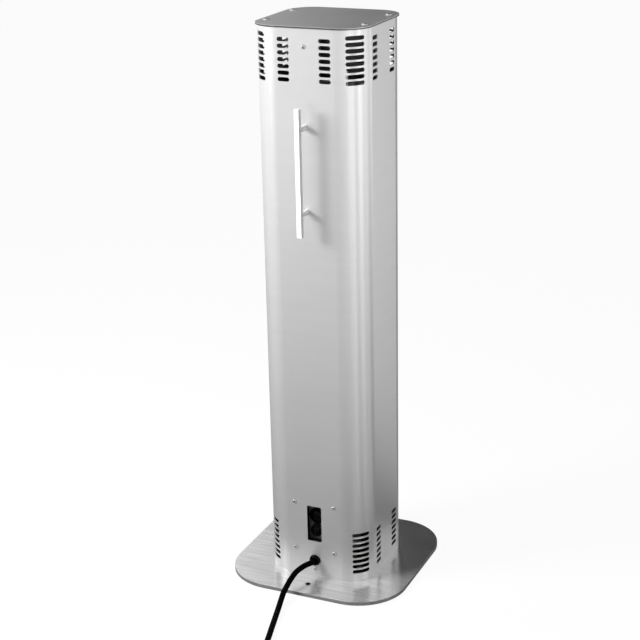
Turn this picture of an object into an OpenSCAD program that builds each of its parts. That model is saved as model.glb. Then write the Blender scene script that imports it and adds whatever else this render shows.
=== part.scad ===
// Infrared patio heater tower: a square sheet-steel column on a base plate,
// with two quartz lamps behind a guard in front and a handle, two booted
// switches and a mains cord at the back. Front faces -Y, up is +Z, and the
// origin is on the floor under the middle of the base plate.

/* [Base plate] */
// Side of the square base plate
base_w = 300; // [284:1:360]
// Corner radius of the base plate
base_r = 81.5; // [60:0.5:90]
// Thickness of the base plate
base_t = 6; // [5:0.5:10]
// Diameter of a floor anchor hole
anchor_d = 8.4; // [6.4:0.1:10.4]
// Distance between the two floor anchor holes
anchor_pitch = 240; // [226:1:256]
// Diameter of a rubber foot pad
pad_d = 30; // [20:1:36]
// Thickness of a rubber foot pad
pad_t = 2; // [1:0.5:5]
// Distance from a pad's centre to the two straight edges beside it
pad_inset = 45; // [38:1:48]

/* [Casing] */
// Width and depth of the square casing
tower_w = 180; // [178:1:190]
// Outer corner radius of the casing
tower_r = 42.8; // [40:0.2:43.6]
// Height of the casing, from the base plate to the top cover
casing_h = 899; // [860:1:1000]
// Thickness of the casing's sheet
sheet_t = 1.5; // [1:0.1:2]
// Thickness of the inner frames that the casing slides over
frame_t = 2; // [1.5:0.5:3]
// Gap between the casing and the frames inside it
fit_gap = 0.3; // [0.2:0.1:0.5]
// Gap round a screw's shank
screw_gap = 0.1; // [0.05:0.05:0.2]

/* [Vents] */
// Length of a vent slot in a flat face
face_vent_w = 19; // [14:0.5:22]
// Height of a vent slot in a flat face
face_vent_h = 6.4; // [4:0.2:7]
// Height from one face slot to the next
face_vent_pitch = 9.88; // [8.6:0.02:10.6]
// Distance from a face slot's outer end to the start of the round corner
face_vent_margin = 4.3; // [2:0.1:6]
// Number of slots in a column of face slots
face_vent_rows = 7; // [3:1:8]
// Height of a slot round a corner
corner_vent_h = 6.4; // [4:0.2:7]
// Height from one corner slot to the next
corner_vent_pitch = 9.41; // [8.6:0.01:10.2]
// Number of slots in a column of corner slots
corner_vent_rows = 8; // [3:1:8]
// Angle that a corner slot spans, with its round ends
corner_vent_sweep = 41; // [30:1:56]
// Distance from the casing's top to the middle of the highest face slot
face_vent_drop = 17.4; // [15:0.2:20]
// Distance from the base plate to the middle of the lowest face slot
face_vent_rise = 18.6; // [18:0.2:24]
// Distance from the casing's top to the middle of the highest corner slot
corner_vent_drop = 12.3; // [11:0.1:16]
// Distance from the base plate to the middle of the lowest corner slot
corner_vent_rise = 17.8; // [17:0.1:22]

/* [Top cover] */
// Thickness of the top cover
cover_t = 2.5; // [1.5:0.1:3]
// Overhang of the top cover past the casing
cover_lip = 2.6; // [0.5:0.1:3.5]
// Distance from a cover screw to the casing's side
cover_screw_inset = 10; // [8:0.5:14]

/* [Handle] */
// Length of the handle's square bar
bar_len = 196; // [160:1:230]
// Side of the handle's square bar
bar_w = 8; // [7:0.5:12]
// Edge radius of the handle's bar
bar_r = 1; // [0.5:0.1:2]
// Distance between the two handle posts
post_pitch = 130; // [100:1:150]
// Diameter of a handle post
post_d = 8; // [7.5:0.1:12]
// Distance from the casing's back to the middle of the bar
bar_reach = 26; // [22:0.5:45]
// Distance from the casing's top to the middle of the bar
bar_drop = 211.7; // [190:0.1:260]

/* [Control recess] */
// Width of the control opening in the back
opening_w = 25.2; // [24:0.1:30]
// Height of the control opening in the back
opening_h = 63.2; // [60:0.2:66]
// Corner radius of the control opening
opening_r = 1.5; // [0.5:0.1:4]
// Distance from the base plate to the middle of the control opening
opening_rise = 94.4; // [94:0.2:110]
// Depth from the casing's back to the switch plate
recess_depth = 14; // [11:0.5:20]
// Distance from a control box screw to the start of the round corner
box_screw_margin = 12.6; // [9:0.1:17]
// Distance between the control box screws, one above the other
box_pitch_z = 82.7; // [78:0.1:86]
// Distance from the control opening's middle down to the middle of the box screws
box_drop = 5.95; // [4:0.05:7]
// Wall of the control box
box_wall = 2; // [1.5:0.1:2.5]
// Distance from a box screw's middle to the edge of the box's flange
box_margin = 5.6; // [5:0.1:6]
// Distance from the opening's middle up to the rocker switch
rocker_up = 9.4; // [9.1:0.1:11]
// Distance from the opening's middle down to the push switch
push_down = 15.2; // [15:0.1:17]
// Half of the angle between the rocker's two positions
rocker_tilt = 7; // [4:1:8]
// Travel of the push switch
push_travel = 2.5; // [1:0.1:3]

/* [Gland and cord] */
// Distance from the base plate to the middle of the cable gland
gland_rise = 29; // [28:0.2:32]
// Diameter of the gland's domed head
gland_d = 18.5; // [18:0.1:24]
// Height of the gland's domed head
gland_h = 6; // [4:0.2:10]
// Diameter of the mains cord
cord_d = 9.2; // [8.4:0.1:9.6]

/* [Window and guard] */
// Distance from the window's side edge to the start of the round corner
window_margin = 6.2; // [6:0.1:9]
// Distance from the base plate to the window
window_rise = 207; // [200:1:240]
// Distance from the casing's top to the window
window_drop = 123; // [118:1:150]
// Corner radius of the window
window_r = 4; // [2:0.5:6]
// Thickness of the trim round the window
trim_t = 1.2; // [1:0.1:1.6]
// Width of the trim's flange beside the window
trim_side = 5; // [3:0.1:5.4]
// Height of the trim's flange above and below the window
trim_end = 15; // [12:0.5:20]
// Depth of the trim's lip, from the casing's front to the reflector
lip_depth = 10; // [9:0.5:14]
// Diameter of a bar of the guard
guard_bar_d = 3; // [2:0.1:4]
// Distance between the bars of the guard
guard_pitch = 12; // [9:0.5:16]
// Width of the guard's flat frame
guard_strip_w = 4; // [3:0.1:5]
// Depth of the guard's flat frame
guard_strip_t = 4; // [4:0.1:5]

/* [Reflector and lamps] */
// Depth of the reflector's parabola
reflector_depth = 36; // [32:0.5:40]
// Thickness of the reflector's sheet
reflector_t = 1; // [0.6:0.1:1.2]
// Length of the reflector past each end of the window
reflector_over = 7; // [4:0.5:12]
// Air gap between the reflector and the heat shield
shield_gap = 9; // [6:0.5:14]
// Length of the heat shield past each end of the reflector
shield_over = 18; // [10:0.5:20]
// Outer diameter of a quartz tube
tube_d = 11; // [10:0.1:12]
// Wall of a quartz tube
tube_wall = 1; // [0.8:0.1:1.5]
// Diameter of a filament coil
filament_d = 3.2; // [2:0.1:4]
// Diameter of a lamp's ceramic end
lamp_end_d = 9; // [8:0.1:9.6]
// Length of a lamp's ceramic end
lamp_end_h = 14; // [13.5:0.1:16]
// Width of a lamp holder
holder_w = 18; // [15:0.5:20]
// Depth of a lamp holder, front to back
holder_d = 14; // [13:0.1:14.4]
// Height of a lamp holder
holder_h = 23; // [20:0.5:26]
// Depth of a lamp holder's socket
socket_depth = 12; // [8:0.5:12.4]

/* [Inner frame] */
// Width of a leg of the angle rails
rail_leg = 15; // [14:0.5:16]
// Depth of the rails, front to back
rail_depth = 19; // [17:0.5:22]
// Distance from the reflector's edge to the rails
rail_offset = 9; // [8:0.5:9.5]
// Height of the foot frame's skirt above the base plate
skirt_h = 12; // [6:0.5:13]
// Distance from the base plate to the lower casing screw
low_screw_rise = 12.7; // [12:0.1:14]
// Distance from the casing's top to the upper casing screw
top_screw_drop = 27.1; // [20:0.1:34]
// Distance from a foot screw to the frame's edge, side to side
foot_screw_inset_x = 26; // [22:0.5:30]
// Distance from a foot screw to the frame's edge, front to back
foot_screw_inset_y = 40; // [36:0.5:44]

/* [Electrics] */
// Width of the terminal block
block_w = 60; // [52:1:66]
// Depth of the terminal block, front to back
block_d = 24; // [20:1:26]
// Height of the terminal block
block_h = 20; // [16:1:24]
// Distance from the heat shield's back to the wires that rise behind it
harness_gap = 10; // [8:0.5:12]
// Diameter of a wire
wire_d = 4; // [3:0.1:4.4]
// Side of the tilt switch's square housing
tilt_w = 24; // [20:1:28]
// Height of the tilt switch's housing
tilt_h = 32; // [24:1:40]
// Diameter of the thermal cutout
cutout_d = 16; // [12:0.5:20]

/* [Hidden] */
$fn = 64;

// Overrun of a cut past the face that it opens
over = 1;
// Play between pieces that are pushed together by hand
play = 0.2;

// Heights of the tower's faces
base_top = pad_t + base_t;
casing_top = base_top + casing_h;
floor_top = base_top + frame_t;

// Half widths of the casing and of the frames inside it
half = tower_w / 2;
in_half = half - sheet_t;
in_r = tower_r - sheet_t;
flat_half = half - tower_r;
frame_half = in_half - fit_gap;
frame_r = in_r - fit_gap;

// Screws: shank diameter, length, head diameter and head height
m3_d = 3;
m3_len = 8;
m3_head_d = 5.4;
m3_head_h = 1.9;
m4_d = 4;
m4_len = 9;
m4_head_d = 6.6;
m4_head_h = 2.2;
m5_d = 5;
m5_head_d = 8.6;
m5_head_h = 2.8;
m6_d = 6;
m6_head_d = 11.4;
m6_cone_h = 2.8;
m6_nut_d = 11.5;
m6_nut_h = 5;
cover_head_d = 11.6;
cover_head_h = 2.4;
cover_screw_len = 12;
// Radius of a domed head's sphere, length and width of its cross slots and width
// of a countersunk head's socket, as shares of the head
dome_share = 0.75;
cross_share = 0.6;
slot_share = 0.16;
socket_share = 0.5;

// Handle: its height, the screws' bite in the bar and their washers
handle_z = casing_top - bar_drop;
handle_bite = 5;
washer_d = 12;
washer_t = 1.2;

// Tabs of the inner frames that the casing screws bite in
tab_w = 24;
tab_over = 4.6;
top_skirt_h = 6;
rim_w = 22;
collar_d = 8;
collar_h = 5;

// Places of the controls on the back
opening_z = base_top + opening_rise;
box_z = opening_z - box_drop;
box_pitch_x = 2 * (flat_half - box_screw_margin);
plate_y = half - recess_depth;
pocket_gap = 2.4;
pocket_w = opening_w + 2 * pocket_gap;
pocket_h = opening_h + 2 * pocket_gap;
plate_t = 1.5;
plate_rim = 7;
plate_back = plate_y - plate_t;
plate_screw_inset = 4;
flange_corner = 4;
plate_screw_x = pocket_w / 2 + plate_rim - plate_screw_inset;
plate_screw_z = pocket_h / 2 + plate_rim - plate_screw_inset;

// Rocker switch
rocker_z = opening_z + rocker_up;
bezel_t = 2.5;
rocker_bezel_d = 27.5;
rocker_barrel_d = 25;
rocker_barrel_len = 22;
rocker_cap_d = 20;
rocker_swing_gap = 1.1;
rocker_cap_out = 8;
rocker_cap_in = 2.5;
rocker_dome_r = 16;
rocker_cavity = 6;
pivot_in = 1;
pin_d = 2.4;
pin_seat_gap = 0.02;
run_gap = 0.05;
pin_seat = 0.8;
pin_len = rocker_cap_d + 2 * rocker_swing_gap + 2 * pin_seat;

// Push switch
push_z = opening_z - push_down;
push_bezel_t = 6.5;
push_bezel_d = 20.6;
push_barrel_d = 16.4;
push_barrel_len = 24;
push_cap_d = 13.6;
push_cap_gap = 0.3;
push_cap_out = 9.5;
push_cap_in = 3;
push_dome_r = 8.4;
push_stem_d = 4;
push_stem_len = 14;
push_bottom_gap = 0.6;
push_web = 7;
push_nut_d = 20;
push_nut_h = 3;

// Gland
gland_z = base_top + gland_rise;
gland_thread_d = 15.6;
gland_inside = 11;
gland_round = 4.4;
gland_nut_d = 21;
gland_nut_h = 4;
gland_mouth = 1.6;
bore_gap = 0.1;
cord_in = 6;

// Anchor and window
window_w = 2 * (flat_half - window_margin);
window_z0 = base_top + window_rise;
window_z1 = casing_top - window_drop;
window_h = window_z1 - window_z0;
window_mid = (window_z0 + window_z1) / 2;
trim_hole_w = window_w - 2 * (play + trim_t);
trim_hole_h = window_h - 2 * (play + trim_t);
trim_corner = 3;
trim_screw_drop = 8;
trim_screw_inset = 11;
guard_w = trim_hole_w - 2 * play;
guard_h = trim_hole_h - 2 * play;
guard_in = 2;
weld = 0.5;

// Reflector, whose focus holds the lamps
reflector_front = lip_depth - half;
reflector_edge_gap = 0.6;
reflector_half = trim_hole_w / 2 - reflector_edge_gap;
reflector_vertex = reflector_front + reflector_depth;
focus = reflector_half * reflector_half / (4 * reflector_depth);
lamp_y = reflector_vertex - focus;
reflector_z0 = window_z0 - reflector_over;
reflector_z1 = window_z1 + reflector_over;
reflector_folds = 14;
flange_end = 12;

// Rails, heat shield and brackets
rail_in = reflector_half + rail_offset;
rail_out = rail_in + rail_leg;
rail_front = reflector_front + reflector_t;
rail_t = 1.5;
rail_z0 = floor_top;
rail_z1 = casing_top - frame_t;
shield_t = 1;
shield_front = reflector_vertex + shield_gap;
shield_back = shield_front + shield_t;
shield_side = 31;
shield_half = rail_out - rail_t;
bracket_t = 2;
plate_thick = 1;
plate_gap = 1;
seat_gap = 0.3;
tube_hole_gap = 1;
reflector_screw_ends = 20;

// Heights of the lamp holders: the two outer ones and the middle pair
low_holder_top = reflector_z0 - plate_gap;
high_holder_base = reflector_z1 + plate_gap;
mid_low_base = window_mid - bracket_t / 2 - holder_h;
mid_high_top = window_mid + bracket_t / 2 + holder_h;
filament_end = 14;
filament_lead_d = 1.2;
support_t = 0.6;
support_pitch = 34;

// Wires
harness_y = shield_back + harness_gap;
wire_reach = 8;
wire_bend = 6;
bend_steps = 4;
outer_wire_x = 21;
inner_wire_x = 5;
wire_hole_gap = 0.5;
block_y = harness_y;
block_back = block_y + block_d - wire_d * 2;
block_front = block_back - block_d;
block_top = floor_top + block_h;
switch_wire_y = block_back - wire_d * 3 / 2;
switch_wire_x = 12;
clip_w = 56;
clip_h = 10;
clip_grip = 4;
clip_count = 3;
cutout_h = 7;
cutout_inset = 17.5;
cutout_flange = 1;
cutout_rise = 120;

// Earth stud
earth_x = -40;
earth_y = 34;
earth_lug_r = 5.5;
earth_lug_t = 1.2;
earth_stud_h = 14;
earth_nut_d = 9.2;
earth_nut_h = 4;

// Route of the cord where it isn't coiled: it leaves the gland, arches over
// the base plate's edge and runs off along the floor.
cord_r = cord_d / 2;
cord_steps = 2;
cord_sides = 10;
cord_route = [[0, 84, 37], [0.2, 92, 37], [2, 100, 37.2], [6, 110.5, 37.2], [10.4, 121, 36.3],
    [14.6, 131.5, 33.5], [17.6, 142, 28.5], [19.4, 153, 22.7], [20.2, 163, 17.6], [20.1, 172.5, 13.2],
    [18.4, 184, 8.6], [13.5, 205, 5.2], [7, 229, cord_r], [-1, 258, cord_r], [-11, 294, cord_r],
    [-20, 330, cord_r], [-25.6, 357, cord_r]];
// Coil of the length that lies past the end of that route: the radius of its
// innermost and outermost turn, and its layers of turns
coil_x = -89.5;
coil_y = 367;
coil_in_r = 37.6;
coil_out_r = 61;
coil_layers = 2;
// Short stretch from the coil to the plug
lead_route = [[-135.4, 410.8, 12], [-143.4, 406.2, 9.2], [-151.9, 401.4, 6.8], [-160.4, 396.5, 5.5]];

// Plug, lying on its rim and on the end of its sleeve
plug_x = -160.4;
plug_y = 396.5;
plug_turn = 210;
sleeve_r = 5.6;
sleeve_end_r = 7;
sleeve_len = 24;
grip_r = 11;
grip_end_r = 13.6;
grip_len = 22;
flare_len = 6;
face_r = 18.5;
face_len = 10;
plug_pin_d = 4.8;
plug_pin_len = 19;
plug_pin_pitch = 19;
earth_clip_w = 7;
earth_clip_t = 1.2;
groove_w = 2;
groove_deep = 1.2;
groove_count = 4;
plug_lean = atan((face_r - sleeve_r) / (sleeve_len + grip_len + flare_len));

// Flat square with round corners
module round_square(w, r) {
    round_rect(w, w, r);
}

// Flat rectangle with round corners
module round_rect(w, h, r) {
    square([w - 2 * r, h], center = true);
    square([w, h - 2 * r], center = true);
    for (sx = [-1, 1], sy = [-1, 1])
        translate([sx * (w / 2 - r), sy * (h / 2 - r)])
            circle(r);
}

// Flat slot with round ends, lying along X
module slot(w, h) {
    square([w - h, h], center = true);
    for (s = [-1, 1])
        translate([s * (w - h) / 2, 0])
            circle(h / 2);
}

// Puts a piece that points up onto the casing's back, pointing out
module on_back(x, z, out = 0) {
    translate([x, half + out, z])
        rotate([-90, 0, 0])
            children();
}

// Puts a piece that points up onto the casing's front, pointing out
module on_front(x, z, out = 0) {
    translate([x, -half - out, z])
        rotate([90, 0, 0])
            children();
}

// Stands a flat outline up, facing the front, from one depth to another
module stand_up(y0, y1) {
    translate([0, y1, 0])
        rotate([90, 0, 0])
            linear_extrude(y1 - y0)
                children();
}

// Screw with a domed head and a socket, its head resting on z = 0
module dome_screw(d, len, head_d, head_h) {
    difference() {
        intersection() {
            cylinder(h = head_h, d = head_d);
            translate([0, 0, head_h - head_d * dome_share])
                sphere(head_d * dome_share);
        }
        for (a = [0, 90])
            rotate([0, 0, a])
                translate([-head_d * cross_share / 2, -head_d * slot_share / 2, head_h / 2])
                    cube([head_d * cross_share, head_d * slot_share, head_h]);
    }
    translate([0, 0, -len])
        cylinder(h = len, d = d);
}

// Screw with a countersunk head, its flat top at z = 0
module sunk_screw(d, len, head_d, cone_h) {
    difference() {
        translate([0, 0, -cone_h])
            cylinder(h = cone_h, d1 = d, d2 = head_d);
        translate([0, 0, -cone_h / 2])
            cylinder(h = cone_h, d = head_d * socket_share, $fn = 6);
    }
    translate([0, 0, -len])
        cylinder(h = len - cone_h / 2, d = d);
}

// Hole for a countersunk screw, from z = 0 down
module sunk_hole(d, deep, head_d, cone_h) {
    translate([0, 0, -cone_h])
        cylinder(h = cone_h, d1 = d + 2 * screw_gap, d2 = head_d + 2 * screw_gap);
    translate([0, 0, -deep - over])
        cylinder(h = deep + over, d = d + 2 * screw_gap);
    cylinder(h = over, d = head_d + 2 * screw_gap);
}

// Point on the smooth curve through four route points
function curve(a, b, c, d, t) = (2 * b + (c - a) * t + (2 * a - 5 * b + 4 * c - d) * t * t
    + (3 * b - a - 3 * c + d) * t * t * t) / 2;
function at(p, k) = p[max(0, min(len(p) - 1, k))];
function smooth(p) = concat([for (i = [0 : len(p) - 2], j = [0 : cord_steps - 1])
    curve(at(p, i - 1), p[i], p[i + 1], at(p, i + 2), j / cord_steps)], [p[len(p) - 1]]);

// Round corner at b, on the way from a to c
function corner(a, b, c) = let (p = b + wire_bend * unit(a - b), q = b + wire_bend * unit(c - b))
    [for (k = [0 : bend_steps]) let (t = k / bend_steps)
        (1 - t) * (1 - t) * p + 2 * t * (1 - t) * b + t * t * q];
function rounded(p) = concat([p[0]],
    [for (i = [1 : 1 : len(p) - 2]) each corner(p[i - 1], p[i], p[i + 1])], [p[len(p) - 1]]);

// Direction of a line at one of its points, and a side that turns with it as little as it can
function unit(v) = v / norm(v);
function heading(p, i) = unit(at(p, i + 1) - at(p, i - 1));
function across(u, t) = unit(u - (u * t) * t);
function sides(p) = [for (i = 0, u = across([1, 1, 1], heading(p, 0)); i < len(p);
    i = i + 1, u = across(u, heading(p, i))) u];
function ring(c, t, u, r) = let (v = cross(t, u))
    [for (k = [0 : cord_sides - 1]) let (a = 360 * k / cord_sides) c + r * (cos(a) * u + sin(a) * v)];

// Round tube swept along a line
module sweep(line, r) {
    n = cord_sides;
    last = len(line) - 1;
    u = sides(line);
    points = [for (i = [0 : last]) each ring(line[i], heading(line, i), u[i], r)];
    walls = [for (i = [0 : last - 1], k = [0 : n - 1])
        [i * n + k, (i + 1) * n + k, (i + 1) * n + (k + 1) % n, i * n + (k + 1) % n]];
    start = [for (k = [0 : n - 1]) k];
    end = [for (k = [n - 1 : -1 : 0]) last * n + k];
    polyhedron(points, concat(walls, [start], [end]));
}

module cord(route, r) {
    sweep(smooth(route), r);
}

module wire(points, d) {
    sweep(rounded(points), d / 2);
}

// Places of the four pads and of the four foot screws
module at_pads() {
    reach = base_w / 2 - pad_inset;
    for (sx = [-1, 1], sy = [-1, 1])
        translate([sx * reach, sy * reach, 0])
            children();
}

module at_foot_screws() {
    for (sx = [-1, 1], sy = [-1, 1])
        translate([sx * (frame_half - foot_screw_inset_x), sy * (frame_half - foot_screw_inset_y), 0])
            children();
}

module base_plate() {
    color("silver")
        difference() {
            translate([0, 0, pad_t])
                linear_extrude(base_t)
                    difference() {
                        round_square(base_w, base_r);
                        for (s = [-1, 1])
                            translate([0, s * anchor_pitch / 2])
                                circle(d = anchor_d);
                    }
            at_foot_screws()
                translate([0, 0, pad_t])
                    mirror([0, 0, 1])
                        sunk_hole(m6_d, base_t, m6_head_d, m6_cone_h);
        }
}

module base_pads() {
    color("dimgray")
        at_pads()
            cylinder(h = pad_t, d = pad_d);
}

// Skirt that follows the casing's inside, from one height to another
module skirt(z0, z1) {
    translate([0, 0, z0])
        linear_extrude(z1 - z0)
            difference() {
                round_square(2 * frame_half, frame_r);
                round_square(2 * (frame_half - frame_t), frame_r - frame_t);
            }
}

// Tabs in front and behind that the casing screws bite in
module tabs(z0, z1, screw_z) {
    difference() {
        for (s = [-1, 1])
            translate([-tab_w / 2, s * frame_half - (s + 1) / 2 * frame_t, z0])
                cube([tab_w, frame_t, z1 - z0]);
        translate([0, 0, screw_z])
            rotate([90, 0, 0])
                cylinder(h = tower_w, d = m4_d + 2 * screw_gap, center = true);
    }
}

module foot_frame() {
    screw_z = base_top + low_screw_rise;
    color("gainsboro") {
        difference() {
            translate([0, 0, base_top])
                linear_extrude(frame_t)
                    round_square(2 * frame_half, frame_r);
            at_foot_screws()
                translate([0, 0, base_top - over])
                    cylinder(h = frame_t + 2 * over, d = m6_d + 2 * screw_gap);
            translate([earth_x, earth_y, base_top - over])
                cylinder(h = frame_t + 2 * over, d = m5_d + 2 * screw_gap);
        }
        difference() {
            skirt(floor_top, base_top + skirt_h);
            translate([0, 0, screw_z])
                rotate([90, 0, 0])
                    cylinder(h = tower_w, d = m4_d + 2 * screw_gap, center = true);
        }
        tabs(base_top + skirt_h, screw_z + tab_over, screw_z);
    }
}

module foot_screws() {
    color("silver")
        at_foot_screws()
            translate([0, 0, pad_t])
                mirror([0, 0, 1])
                    sunk_screw(m6_d, base_t + frame_t + m6_nut_h, m6_head_d, m6_cone_h);
}

module foot_nuts() {
    color("silver")
        at_foot_screws()
            translate([0, 0, floor_top])
                difference() {
                    cylinder(h = m6_nut_h, d = m6_nut_d, $fn = 6);
                    translate([0, 0, -over])
                        cylinder(h = m6_nut_h + 2 * over, d = m6_d + 2 * screw_gap);
                }
}

// Both columns of face slots, from the lowest slot up
module face_vents(z0) {
    for (k = [0 : face_vent_rows - 1], s = [-1, 1])
        translate([s * (flat_half - face_vent_margin - face_vent_w / 2), z0 + k * face_vent_pitch])
            slot(face_vent_w, face_vent_h);
}

// One column of slots round the corner at +X and +Y
module corner_vents(z0) {
    end = asin(corner_vent_h / 2 / tower_r);
    sweep = corner_vent_sweep - 2 * end;
    for (k = [0 : corner_vent_rows - 1])
        translate([flat_half, flat_half, z0 + k * corner_vent_pitch])
            rotate([0, 0, 45 - sweep / 2]) {
                rotate_extrude(angle = sweep)
                    translate([in_r - over, -corner_vent_h / 2])
                        square([sheet_t + 2 * over, corner_vent_h]);
                for (a = [0, sweep])
                    rotate([0, 0, a])
                        translate([in_r - over, 0, 0])
                            rotate([0, 90, 0])
                                cylinder(h = sheet_t + 2 * over, d = corner_vent_h);
            }
}

// Holes in the casing's back, and the screw holes in its front
module casing_holes() {
    for (z = [base_top + low_screw_rise, casing_top - top_screw_drop], a = [0, 180])
        rotate([0, 0, a])
            on_back(0, z, -sheet_t - over)
                cylinder(h = sheet_t + 2 * over, d = m4_d + 2 * screw_gap);
    for (s = [-1, 1])
        on_back(0, handle_z + s * post_pitch / 2, -sheet_t - over)
            cylinder(h = sheet_t + 2 * over, d = m5_d + 2 * screw_gap);
    at_box_screws(-sheet_t - over)
        cylinder(h = sheet_t + 2 * over, d = m4_d + 2 * screw_gap);
    on_back(0, opening_z, -sheet_t - over)
        linear_extrude(sheet_t + 2 * over)
            round_rect(opening_w, opening_h, opening_r);
    on_back(0, gland_z, -sheet_t - over)
        cylinder(h = sheet_t + 2 * over, d = gland_thread_d + 2 * screw_gap);
    at_trim_screws(-sheet_t - over)
        cylinder(h = sheet_t + 2 * over, d = m3_d + 2 * screw_gap);
}

module casing() {
    top_row = casing_top - face_vent_drop - (face_vent_rows - 1) * face_vent_pitch;
    low_row = base_top + face_vent_rise;
    corner_top_row = casing_top - corner_vent_drop - (corner_vent_rows - 1) * corner_vent_pitch;
    corner_low_row = base_top + corner_vent_rise;
    color("whitesmoke")
        difference() {
            translate([0, 0, base_top])
                linear_extrude(casing_h)
                    difference() {
                        round_square(tower_w, tower_r);
                        round_square(2 * in_half, in_r);
                    }
            stand_up(in_half - over, half + over)
                face_vents(top_row);
            stand_up(-half - over, -in_half + over) {
                face_vents(low_row);
                translate([0, window_mid])
                    round_rect(window_w, window_h, window_r);
            }
            rotate([0, 0, 90])
                stand_up(-half - over, half + over) {
                    face_vents(top_row);
                    face_vents(low_row);
                }
            for (a = [0, 90, 180, 270])
                rotate([0, 0, a])
                    corner_vents(corner_top_row);
            for (a = [0, 90])
                rotate([0, 0, a])
                    corner_vents(corner_low_row);
            casing_holes();
        }
}

module casing_screws() {
    color("silver")
        for (z = [base_top + low_screw_rise, casing_top - top_screw_drop], a = [0, 180])
            rotate([0, 0, a])
                on_back(0, z)
                    dome_screw(m4_d, m4_len, m4_head_d, m4_head_h);
}

// Places of the cover screws, where the round corners start
module at_cover_screws() {
    for (sx = [-1, 1], sy = [-1, 1])
        translate([sx * (half - cover_screw_inset), sy * flat_half, 0])
            children();
}

module top_frame() {
    screw_z = casing_top - top_screw_drop;
    color("gainsboro") {
        difference() {
            union() {
                translate([0, 0, casing_top - frame_t])
                    linear_extrude(frame_t)
                        difference() {
                            round_square(2 * frame_half, frame_r);
                            round_square(2 * (frame_half - rim_w), frame_r - rim_w);
                        }
                at_cover_screws()
                    translate([0, 0, casing_top - frame_t - collar_h])
                        cylinder(h = collar_h, d = collar_d);
            }
            at_cover_screws()
                translate([0, 0, casing_top - frame_t - collar_h - over])
                    cylinder(h = frame_t + collar_h + 2 * over, d = m5_d + 2 * screw_gap);
        }
        skirt(casing_top - top_skirt_h, casing_top - frame_t);
        tabs(screw_z - tab_over, casing_top - top_skirt_h, screw_z);
    }
}

module top_cover() {
    color("dimgray")
        difference() {
            translate([0, 0, casing_top])
                linear_extrude(cover_t)
                    round_square(tower_w + 2 * cover_lip, tower_r);
            at_cover_screws()
                translate([0, 0, casing_top - over])
                    cylinder(h = cover_t + 2 * over, d = m5_d + 2 * screw_gap);
        }
}

module cover_screws() {
    color("silver")
        at_cover_screws()
            translate([0, 0, casing_top + cover_t])
                dome_screw(m5_d, cover_screw_len, cover_head_d, cover_head_h);
}

module handle_bar() {
    color("white")
        difference() {
            translate([0, half + bar_reach, handle_z - bar_len / 2])
                linear_extrude(bar_len)
                    round_square(bar_w, bar_r);
            for (s = [-1, 1])
                on_back(0, handle_z + s * post_pitch / 2, bar_reach - bar_w / 2 - over)
                    cylinder(h = handle_bite + over, d = m5_d + 2 * screw_gap);
        }
}

module handle_posts() {
    color("white")
        for (s = [-1, 1])
            on_back(0, handle_z + s * post_pitch / 2)
                difference() {
                    cylinder(h = bar_reach - bar_w / 2, d = post_d);
                    translate([0, 0, -over])
                        cylinder(h = bar_reach + over, d = m5_d + 2 * screw_gap);
                }
}

// Handle screws with their washers, from inside the casing
module handle_screws() {
    grip = sheet_t + bar_reach - bar_w / 2 + handle_bite - play;
    color("silver")
        for (s = [-1, 1])
            on_back(0, handle_z + s * post_pitch / 2, -sheet_t - washer_t)
                mirror([0, 0, 1]) {
                    dome_screw(m5_d, washer_t, m5_head_d, m5_head_h);
                    translate([0, 0, -washer_t])
                        cylinder(h = washer_t, d = washer_d);
                    translate([0, 0, -washer_t - grip])
                        cylinder(h = washer_t + grip, d = m5_d);
                }
}

// Places of the four control box screws on the back
module at_box_screws(out = 0) {
    for (sx = [-1, 1], sz = [-1, 1])
        on_back(sx * box_pitch_x / 2, box_z + sz * box_pitch_z / 2, out)
            children();
}

// Black box behind the opening: a flange, the pocket's walls and a rear rim
module control_box() {
    color("#202020")
        difference() {
            union() {
                stand_up(in_half - box_wall, in_half)
                    translate([0, box_z])
                        round_rect(box_pitch_x + 2 * box_margin, box_pitch_z + 2 * box_margin,
                            flange_corner);
                stand_up(plate_y, in_half)
                    translate([0, opening_z])
                        round_rect(pocket_w + 2 * box_wall, pocket_h + 2 * box_wall,
                            opening_r + pocket_gap + box_wall);
                stand_up(plate_y, plate_y + box_wall)
                    translate([0, opening_z])
                        round_rect(pocket_w + 2 * plate_rim, pocket_h + 2 * plate_rim, flange_corner);
            }
            stand_up(plate_y - over, half)
                translate([0, opening_z])
                    round_rect(pocket_w, pocket_h, opening_r + pocket_gap);
            at_box_screws(-sheet_t - box_wall - over)
                cylinder(h = box_wall + 2 * over, d = m4_d + 2 * screw_gap);
            at_plate_screws(-over)
                cylinder(h = box_wall + 2 * over, d = m3_d + 2 * screw_gap);
        }
}

module control_screws() {
    color("silver")
        at_box_screws()
            dome_screw(m4_d, m4_len, m4_head_d, m4_head_h);
}

// Places of the switch plate's screws, from the plate's face out
module at_plate_screws(out = 0) {
    for (sx = [-1, 1], sz = [-1, 1])
        on_back(sx * plate_screw_x, opening_z + sz * plate_screw_z, out - recess_depth)
            children();
}

module switch_plate() {
    color("gray")
        difference() {
            stand_up(plate_back, plate_y)
                translate([0, opening_z])
                    difference() {
                        round_rect(pocket_w + 2 * plate_rim, pocket_h + 2 * plate_rim, flange_corner);
                        translate([0, rocker_up])
                            circle(d = rocker_barrel_d + 2 * screw_gap);
                        translate([0, -push_down])
                            circle(d = push_barrel_d + 2 * screw_gap);
                    }
            at_plate_screws(-plate_t - over)
                cylinder(h = plate_t + 2 * over, d = m3_d + 2 * screw_gap);
        }
}

module plate_screws() {
    reach = plate_t + box_wall + bezel_t;
    color("silver")
        at_plate_screws(-plate_t)
            mirror([0, 0, 1])
                dome_screw(m3_d, reach, m3_head_d, m3_head_h);
}

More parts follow.
